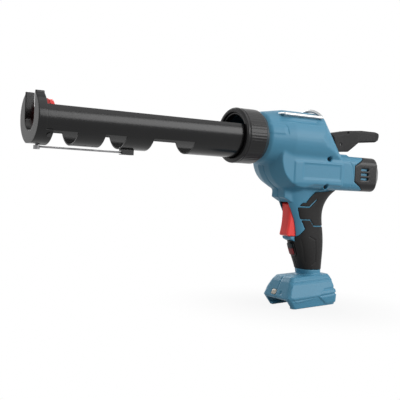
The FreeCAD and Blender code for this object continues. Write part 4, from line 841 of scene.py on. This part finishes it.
@dataclass
class CaseHalf(Skin):
    """One half of the blue housing, with soft blends between its barrel, gear case and motor case.

    Attributes:
        share: Share of softening on the plain panels.
        foot_share: Share of softening on the foot.
        most_share: Largest share of softening.
        foot_top: Height of the foot's top, in millimetres on the tool.
        bands: Where the cases run into each other.
        lip_front: Front of the lip under the trigger, in millimetres on the tool.
        lip_low: Lowest height of the lip.
        lip_high: Highest height of the lip.
        lip_keep: Share that is kept of the solid lip's way past its front.
        rim_end: Where the rim of the barrel case ends, in millimetres on the tool.
        rim_reach: Length of the rim in millimetres.
        rim_depth: How far its front is drawn in, in millimetres.
        rim_curve: Power by which the depth grows towards the front.
        rim_inner: Radius inside which nothing is drawn in, in millimetres.
        rim_wall: Further radius over which the drawing in grows to its whole, in millimetres.
        rim_low: Height below which nothing is drawn in, in millimetres on the tool.
    """

    share: float = 0.05
    foot_share: float = 0.03
    most_share: float = 0.6
    foot_top: float = -160.0
    bands: tuple[SoftBand, ...] = (
        SoftBand(345.0, -14.0, 60.0, 9.0, 0.5),
        SoftBand(350.0, -60.0, 45.0, 9.0, 0.4),
    )
    lip_front: float = 338.5
    lip_low: float = -128.0
    lip_high: float = -118.0
    lip_keep: float = 0.12
    rim_end: float = 286.5
    rim_reach: float = 5.2
    rim_depth: float = 2.4
    rim_curve: float = 1.5
    rim_inner: float = 26.5
    rim_wall: float = 3.0
    rim_low: float = -36.0

    def softness(self, points: np.ndarray) -> np.ndarray:
        """Soften most where the cases run into each other, and least on the side panels and the foot.

        Args:
            points: Places of the points.

        Returns:
            The share of softening for each point.
        """
        x, z = points[:, 0] / MM + RAIL_X, points[:, 2] / MM - RAIL_Z
        plain = np.where(z < self.foot_top, self.foot_share, self.share)
        return np.clip(plain + sum(band.added(x, z) for band in self.bands), 0, self.most_share)

    def shaped(self, points: np.ndarray) -> np.ndarray:
        """Draw the lip under the trigger back, and the front rim of the barrel case in."""
        return self.rim_drawn_in(self.lip_drawn_back(points))

    def lip_drawn_back(self, points: np.ndarray) -> np.ndarray:
        """Let the points in front of the lip's front keep only a share of their way past it.

        Args:
            points: Places of the points.

        Returns:
            The new places.
        """
        front = at(self.lip_front, 0, 0)[0]
        z = points[:, 2] / MM - RAIL_Z
        lip = (points[:, 0] < front) & (z > self.lip_low) & (z < self.lip_high)
        moved = points.copy()
        moved[:, 0] = np.where(lip, front + self.lip_keep * (points[:, 0] - front), points[:, 0])
        return moved

    def rim_drawn_in(self, points: np.ndarray) -> np.ndarray:
        """Move the rim's outer points towards the barrel axis, by a power of their way to its front.

        Args:
            points: Places of the points.

        Returns:
            The new places.
        """
        way = np.clip((at(self.rim_end, 0, 0)[0] - points[:, 0]) / (self.rim_reach * MM), 0, 1)
        wall = np.clip((axis_distance(points) / MM - self.rim_inner) / self.rim_wall, 0, 1)
        above = points[:, 2] / MM - RAIL_Z > self.rim_low
        return drawn_in(points, self.rim_depth * MM * way ** self.rim_curve * wall * above)


@dataclass
class CollarNut(Skin):
    """The collar, with a groove that parts a bead from its front.

    Attributes:
        bead: Distance of the groove behind the front, in metres.
        groove_width: Half width of the groove.
        groove_depth: Depth of the groove.
        outer: Share of the radius from which a point is on the outside.
        outer_fade: Further radius over which the groove grows to its whole depth.
        mouth: How far the softened mouth reaches behind the front.
        inner_share: Share of softening on the inner faces.
    """

    bead: float = 0.0046
    groove_width: float = 0.0009
    groove_depth: float = 0.0009
    outer: float = 0.92
    outer_fade: float = 0.001
    mouth: float = 0.0030
    inner_share: float = 0.02

    def softness(self, points: np.ndarray) -> np.ndarray:
        """Soften the outside and the mouth, and hardly the inner faces, which hold the cradle's flange.

        Args:
            points: Places of the points.

        Returns:
            The share of softening for each point.
        """
        out = axis_distance(points)
        inner = (out < self.outer * out.max()) & (points[:, 0] > points[:, 0].min() + self.mouth)
        return np.where(inner, self.inner_share, self.share)

    def shaped(self, points: np.ndarray) -> np.ndarray:
        """Move the outer points near the groove towards the axis, by a bell curve of their distance from it.

        Args:
            points: Places of the points.

        Returns:
            The new places.
        """
        out = axis_distance(points)
        outer = np.clip((out - self.outer * out.max()) / self.outer_fade, 0, 1)
        away = points[:, 0] - points[:, 0].min() - self.bead
        return drawn_in(points, self.groove_depth * np.exp(-(away / self.groove_width) ** 2) * outer)


@dataclass
class TriggerLever(Skin):
    """The trigger, whose front leans back towards its top.

    Attributes:
        lean: How far the top of the front leans back, in metres.
        lean_curve: Power by which the lean grows with the height.
    """

    lean: float = 0.0026
    lean_curve: float = 1.4

    def shaped(self, points: np.ndarray) -> np.ndarray:
        """Move points back by the lean, times a power of their height and their nearness to the front.

        Args:
            points: Places of the points.

        Returns:
            The new places.
        """
        low, high = points.min(axis=0), points.max(axis=0)
        share = (points - low) / (high - low)
        moved = points.copy()
        moved[:, 0] += self.lean * share[:, 2] ** self.lean_curve * (1 - share[:, 0])
        return moved


@dataclass
class Housing:
    """The blue clamshell with its screw heads, rubber grip, lamp lens and the black cap behind the motor.

    Attributes:
        case_cell: Cell size of the two halves, in metres.
        case_rounds: Rounds of softening of the two halves.
        grip_cell: Cell size of the grip pads.
        grip_rounds: Rounds of softening of the grip pads.
        cap_cell: Cell size of the cap.
        cap_rounds: Rounds of softening of the cap.
        lens_cell: Cell size of the lamp lens.
        lens_rounds: Rounds of softening of the lamp lens.
        dimple: The dish beside the lamp.
        heads: Tops of the screw heads.
        case_grooves: Two lines on the foot, the catch pad, the band under the bail and the motor case.
        grip_grooves: Two lines on the grip pads.
    """

    case_cell: float = 0.0008
    case_rounds: int = 24
    grip_cell: float = 0.00055
    grip_rounds: int = 5
    cap_cell: float = 0.0006
    cap_rounds: int = 5
    lens_cell: float = 0.0003
    lens_rounds: int = 60
    dimple: Dimple = Dimple()
    heads: tuple[StarHead, ...] = (
        StarHead("upper_case_screw", (376.2, -24.0, -20.8), (0.0, -1.0, 0.0), 0.0031),
        StarHead("lower_case_screw", (372.8, -24.0, -55.6), (0.0, -1.0, 0.0), 0.0031),
        StarHead("left_cap_screw", (463.5, -21.0, -25.3), (1.0, 0.0, 0.0), 0.0029),
        StarHead("right_cap_screw", (463.5, 21.0, -49.3), (1.0, 0.0, 0.0), 0.0029),
    )
    case_grooves: tuple[Groove, ...] = (
        Groove(((330.0, -176.0), (359.6, -173.9), (404.0, -170.3)), 0.0008, 0.0011),
        Groove(((333.0, -197.4), (351.4, -195.7), (372.3, -193.4)), 0.0007, 0.0009),
        Groove(((285.6, 16.1), (303.5, 15.8), (305.9, 13.0), (306.5, 4.8)), 0.0007, 0.0006),
        Groove(((301.0, 21.8), (357.0, 21.4)), 0.0022, 0.0008),
        Groove(((410.1, -22.6), (414.8, -28.7), (416.5, -40.0), (414.1, -52.8)), 0.0007, 0.0006),
    )
    grip_grooves: tuple[Groove, ...] = (
        Groove(((361.8, -119.1), (371.1, -122.9), (373.7, -150.6), (369.1, -154.3)), 0.0008, 0.0006),
        Groove(((350.7, -122.9), (354.8, -135.4), (359.1, -150.4)), 0.0009, 0.0005),
    )

    def build(self, nodes: dict[str, bpy.types.Object]) -> None:
        """Build the screw heads, the two sides, the cap and the lamp lens.

        Args:
            nodes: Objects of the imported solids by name.
        """
        for head in self.heads:
            head.build()
        for side in Side:
            self.build_side(nodes, side)
        Skin("rear_cap", "motor_cap", "housing", "black_plastic", BLACK, self.cap_cell,
             self.cap_rounds).build(nodes)
        Skin("led_lens", "lamp_dome", "housing", "lens", LENS, self.lens_cell, self.lens_rounds).build(nodes)

    def build_side(self, nodes: dict[str, bpy.types.Object], side: Side) -> None:
        """Build one half of the clamshell and its grip pad. The left half has the dimple.

        Args:
            nodes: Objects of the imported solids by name.
            side: Side of the tool.
        """
        word = side.name.lower()
        case = CaseHalf(f"{word}_housing", f"{word}_case", "housing", "blue_plastic", BLUE, self.case_cell,
                        self.case_rounds, self.case_grooves, side).build(nodes)
        if side is Side.LEFT:
            self.dimple.build(case)
        Skin(f"{word}_grip", f"{word}_grip_pads", "housing", "grip_rubber", GRIP, self.grip_cell,
             self.grip_rounds, self.grip_grooves, side).build(nodes)


@dataclass
class Barrel:
    """The nose plate and the ribbed collar at the ends of the cradle.

    Attributes:
        nose_cell: Cell size of the nose plate, in metres.
        nose_rounds: Rounds of softening of the nose plate.
        collar_cell: Cell size of the collar.
        collar_rounds: Rounds of softening of the collar.
    """

    nose_cell: float = 0.00045
    nose_rounds: int = 4
    collar_cell: float = 0.0005
    collar_rounds: int = 14

    def build(self, nodes: dict[str, bpy.types.Object]) -> None:
        """Build the skins of the nose plate and the collar.

        Args:
            nodes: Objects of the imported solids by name.
        """
        Skin("nose_plate", "nose_casting", "cradle", "black_paint", COAT, self.nose_cell,
             self.nose_rounds).build(nodes)
        CollarNut("collar", "collar_nut", "collar", "black_plastic", BLACK, self.collar_cell,
                  self.collar_rounds).build(nodes)


@dataclass
class Controls:
    """The pull handle on the rod and the trigger.

    Attributes:
        cell: Cell size of both, in metres.
        rounds: Rounds of softening of both.
    """

    cell: float = 0.0004
    rounds: int = 6

    def build(self, nodes: dict[str, bpy.types.Object]) -> None:
        """Build the skins of the pull handle and the trigger.

        Args:
            nodes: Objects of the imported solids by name.
        """
        Skin("pull_handle", "pull_grip", "rod", "black_plastic", PULL, self.cell, self.rounds).build(nodes)
        TriggerLever("trigger", "trigger_lever", "trigger", "red_plastic", RED, self.cell,
                     self.rounds).build(nodes)


def frame_matrix(right: np.ndarray, up: np.ndarray, back: np.ndarray, place: np.ndarray) -> Matrix:
    """Make the matrix of an object from its directions.

    Args:
        right: Direction of its X.
        up: Direction of its Y.
        back: Direction of its Z.
        place: Its place.

    Returns:
        The matrix.
    """
    rows = np.eye(4)
    rows[:3] = np.column_stack([right, up, back, place])
    return Matrix(rows.tolist())


def background_rays(tree: bpy.types.NodeTree) -> bpy.types.NodeSocket:
    """Tell the rays that show the background from those that light the object.

    Args:
        tree: Node tree to work in.

    Returns:
        Socket that is 1 for camera, glossy and transmission rays.
    """
    path = tree.nodes.new("ShaderNodeLightPath")
    shown = path.outputs["Is Camera Ray"]
    for name in ("Is Glossy Ray", "Is Transmission Ray"):
        larger = tree.nodes.new("ShaderNodeMath")
        larger.operation = "MAXIMUM"
        tree.links.new(shown, larger.inputs[0])
        tree.links.new(path.outputs[name], larger.inputs[1])
        shown = larger.outputs["Value"]
    return shown


def shader_mix(tree: bpy.types.NodeTree, factor: bpy.types.NodeSocket, one: bpy.types.NodeSocket,
               other: bpy.types.NodeSocket) -> bpy.types.NodeSocket:
    """Mix two shaders.

    Args:
        tree: Node tree to work in.
        factor: Socket with the share of the second shader.
        one: Socket of the first shader.
        other: Socket of the second shader.

    Returns:
        Socket of the mixed shader.
    """
    mix = tree.nodes.new("ShaderNodeMixShader")
    for source, target in zip((factor, one, other), mix.inputs):
        tree.links.new(source, target)
    return mix.outputs["Shader"]


@dataclass(frozen=True)
class Lamp:
    """One soft area light.

    Attributes:
        name: Name of the light.
        place: Its place in metres.
        aim: The point that it faces.
        width: Level side of its rectangle.
        height: Other side of its rectangle.
        power: Its power in watts.
    """

    name: str
    place: tuple[float, float, float]
    aim: tuple[float, float, float]
    width: float
    height: float
    power: float

    def build(self) -> None:
        """Put the light into the scene."""
        data = bpy.data.lights.new(self.name, "AREA")
        data.shape = "RECTANGLE"
        data.size, data.size_y = self.width, self.height
        data.energy = self.power
        forward = np.array(self.aim) - np.array(self.place)
        forward /= np.linalg.norm(forward)
        right = np.cross(forward, (0.0, 0.0, 1.0))
        right /= np.linalg.norm(right)
        up = np.cross(right, forward)
        link(data, self.name).matrix_world = frame_matrix(right, up, -forward, np.array(self.place))


@dataclass
class Studio:
    """Camera, pale floor, soft lights and white surround.

    Attributes:
        place: Camera place in metres.
        right: Camera direction to the right of the picture.
        down: Camera direction down the picture.
        lens: Focal length in millimetres.
        sensor: Width of the camera's sensor in millimetres.
        clip: Nearest and farthest distance that the camera sees, in metres.
        floor_reach: Half side of the floor in metres.
        floor_gap: Gap between the object and the floor.
        floor_tone: Linear grey of the floor.
        floor_roughness: Roughness of the floor.
        shadow_reach: Distances from the middle over which the floor's shadow fades.
        shadow_white: Share of white in the floor, near the middle and far from it.
        soft_light: Strength of the surround as a light.
        lamps: The soft lights.
    """

    place: tuple[float, float, float] = (-0.6171, -0.7366, 0.1474)
    right: tuple[float, float, float] = (0.8476, -0.5280, 0.0502)
    down: tuple[float, float, float] = (0.0306, -0.0458, -0.9985)
    lens: float = 67.5
    sensor: float = 36.0
    clip: tuple[float, float] = (0.01, 100.0)
    floor_reach: float = 8.0
    floor_gap: float = 0.0006
    floor_tone: float = 0.36
    floor_roughness: float = 0.9
    shadow_reach: tuple[float, float] = (0.02, 0.20)
    shadow_white: tuple[float, float] = (0.90, 1.0)
    soft_light: float = 0.16
    lamps: tuple[Lamp, ...] = (
        Lamp("top", (0.30, -0.55, 1.30), (0.0, -0.10, 0.20), 1.5, 1.1, 7.5),
        Lamp("window", (1.05, -1.68, 0.82), (0.0, 0.0, 0.20), 1.7, 1.0, 33.0),
        Lamp("left", (-1.3, -0.10, 0.65), (-0.1, 0.0, 0.15), 0.8, 0.8, 5.0),
        Lamp("far", (0.10, 1.70, 0.95), (0.0, 0.0, 0.15), 1.4, 0.9, 20.0),
    )

    def build(self, lowest: float) -> None:
        """Set up the studio round the object.

        Args:
            lowest: Height of the object's lowest point.
        """
        self.camera()
        self.floor(lowest)
        self.surround()
        for lamp in self.lamps:
            lamp.build()
        bpy.context.scene.view_settings.view_transform = "Standard"

    def camera(self) -> None:
        """Put the camera at the photograph's viewing angle."""
        data = bpy.data.cameras.new("camera")
        data.sensor_width = self.sensor
        data.lens = self.lens
        data.clip_start, data.clip_end = self.clip
        right = np.array(self.right) / np.linalg.norm(self.right)
        up = -np.array(self.down)
        up -= right * (right @ up)
        up /= np.linalg.norm(up)
        made = link(data, "camera")
        made.matrix_world = frame_matrix(right, up, np.cross(right, up), np.array(self.place))
        bpy.context.scene.camera = made

    def floor(self, lowest: float) -> None:
        """Lay a pale floor just under the object.

        Args:
            lowest: Height of the object's lowest point.
        """
        corners = np.array([[-1, -1], [1, -1], [1, 1], [-1, 1]]) * self.floor_reach
        heights = np.full(len(corners), lowest - self.floor_gap)
        mesh = bpy.data.meshes.new("floor")
        mesh.from_pydata(np.column_stack([corners, heights]).tolist(), [], [(0, 1, 2, 3)])
        mesh.materials.append(self.pale())
        link(mesh, "floor")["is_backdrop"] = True

    def pale(self) -> bpy.types.Material:
        """Make the floor's finish: white to the camera, but for a part of the object's shadow close to it.

        Returns:
            The floor's material.
        """
        made = bpy.data.materials.new("pale_floor")
        made.use_nodes = True
        tree = made.node_tree
        shader = tree.nodes["Principled BSDF"]
        tone = self.floor_tone
        set_inputs(shader, Base_Color=(tone, tone, tone, 1), Roughness=self.floor_roughness,
                   Specular_IOR_Level=0.0)
        distance = tree.nodes.new("ShaderNodeVectorMath")
        distance.operation = "LENGTH"
        tree.links.new(tree.nodes.new("ShaderNodeTexCoord").outputs["Object"], distance.inputs[0])
        fade = tree.nodes.new("ShaderNodeMapRange")
        fade.interpolation_type = "SMOOTHSTEP"
        set_inputs(fade, From_Min=self.shadow_reach[0], From_Max=self.shadow_reach[1],
                   To_Min=self.shadow_white[0], To_Max=self.shadow_white[1])
        tree.links.new(distance.outputs["Value"], fade.inputs["Value"])
        share = multiplied(tree, background_rays(tree), fade.outputs["Result"])
        white = tree.nodes.new("ShaderNodeEmission")
        set_inputs(white, Color=WHITE, Strength=1.0)
        shown = shader_mix(tree, share, shader.outputs["BSDF"], white.outputs["Emission"])
        tree.links.new(shown, tree.nodes["Material Output"].inputs["Surface"])
        return made

    def surround(self) -> None:
        """Make the surround white to the camera and a plain soft light to the object."""
        world = bpy.data.worlds.new("surround")
        bpy.context.scene.world = world
        world.use_nodes = True
        tree = world.node_tree
        light = tree.nodes["Background"]
        set_inputs(light, Color=WHITE, Strength=self.soft_light)
        white = tree.nodes.new("ShaderNodeBackground")
        set_inputs(white, Color=WHITE, Strength=1.0)
        shown = shader_mix(tree, background_rays(tree), light.outputs["Background"],
                           white.outputs["Background"])
        tree.links.new(shown, tree.nodes["World Output"].inputs["Surface"])


def dress_solids(frame: dict) -> None:
    """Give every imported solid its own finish, or else the finish of its material slot.

    Args:
        frame: What the frame loader returned.
    """
    for entry in frame["record"]["subparts"]:
        node = frame["nodes"][entry["node"]]
        finish = NODE_FINISHES.get(entry["node"], SLOT_FINISHES[entry["material_slot"]])
        for holder in node.material_slots:
            holder.material = finish.material()


def main() -> None:
    """Build the sub-assemblies in order."""
    logging.basicConfig(level=logging.INFO, format="%(name)s: %(message)s")
    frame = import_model()
    solid_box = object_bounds()
    dress_solids(frame)
    nodes = frame["nodes"]
    for assembly in (Housing(), Barrel(), Controls()):
        assembly.build(nodes)
        LOG.info("built %s", type(assembly).__name__)
    Studio().build(solid_box[0].z)


if __name__ == "__main__":
    main()
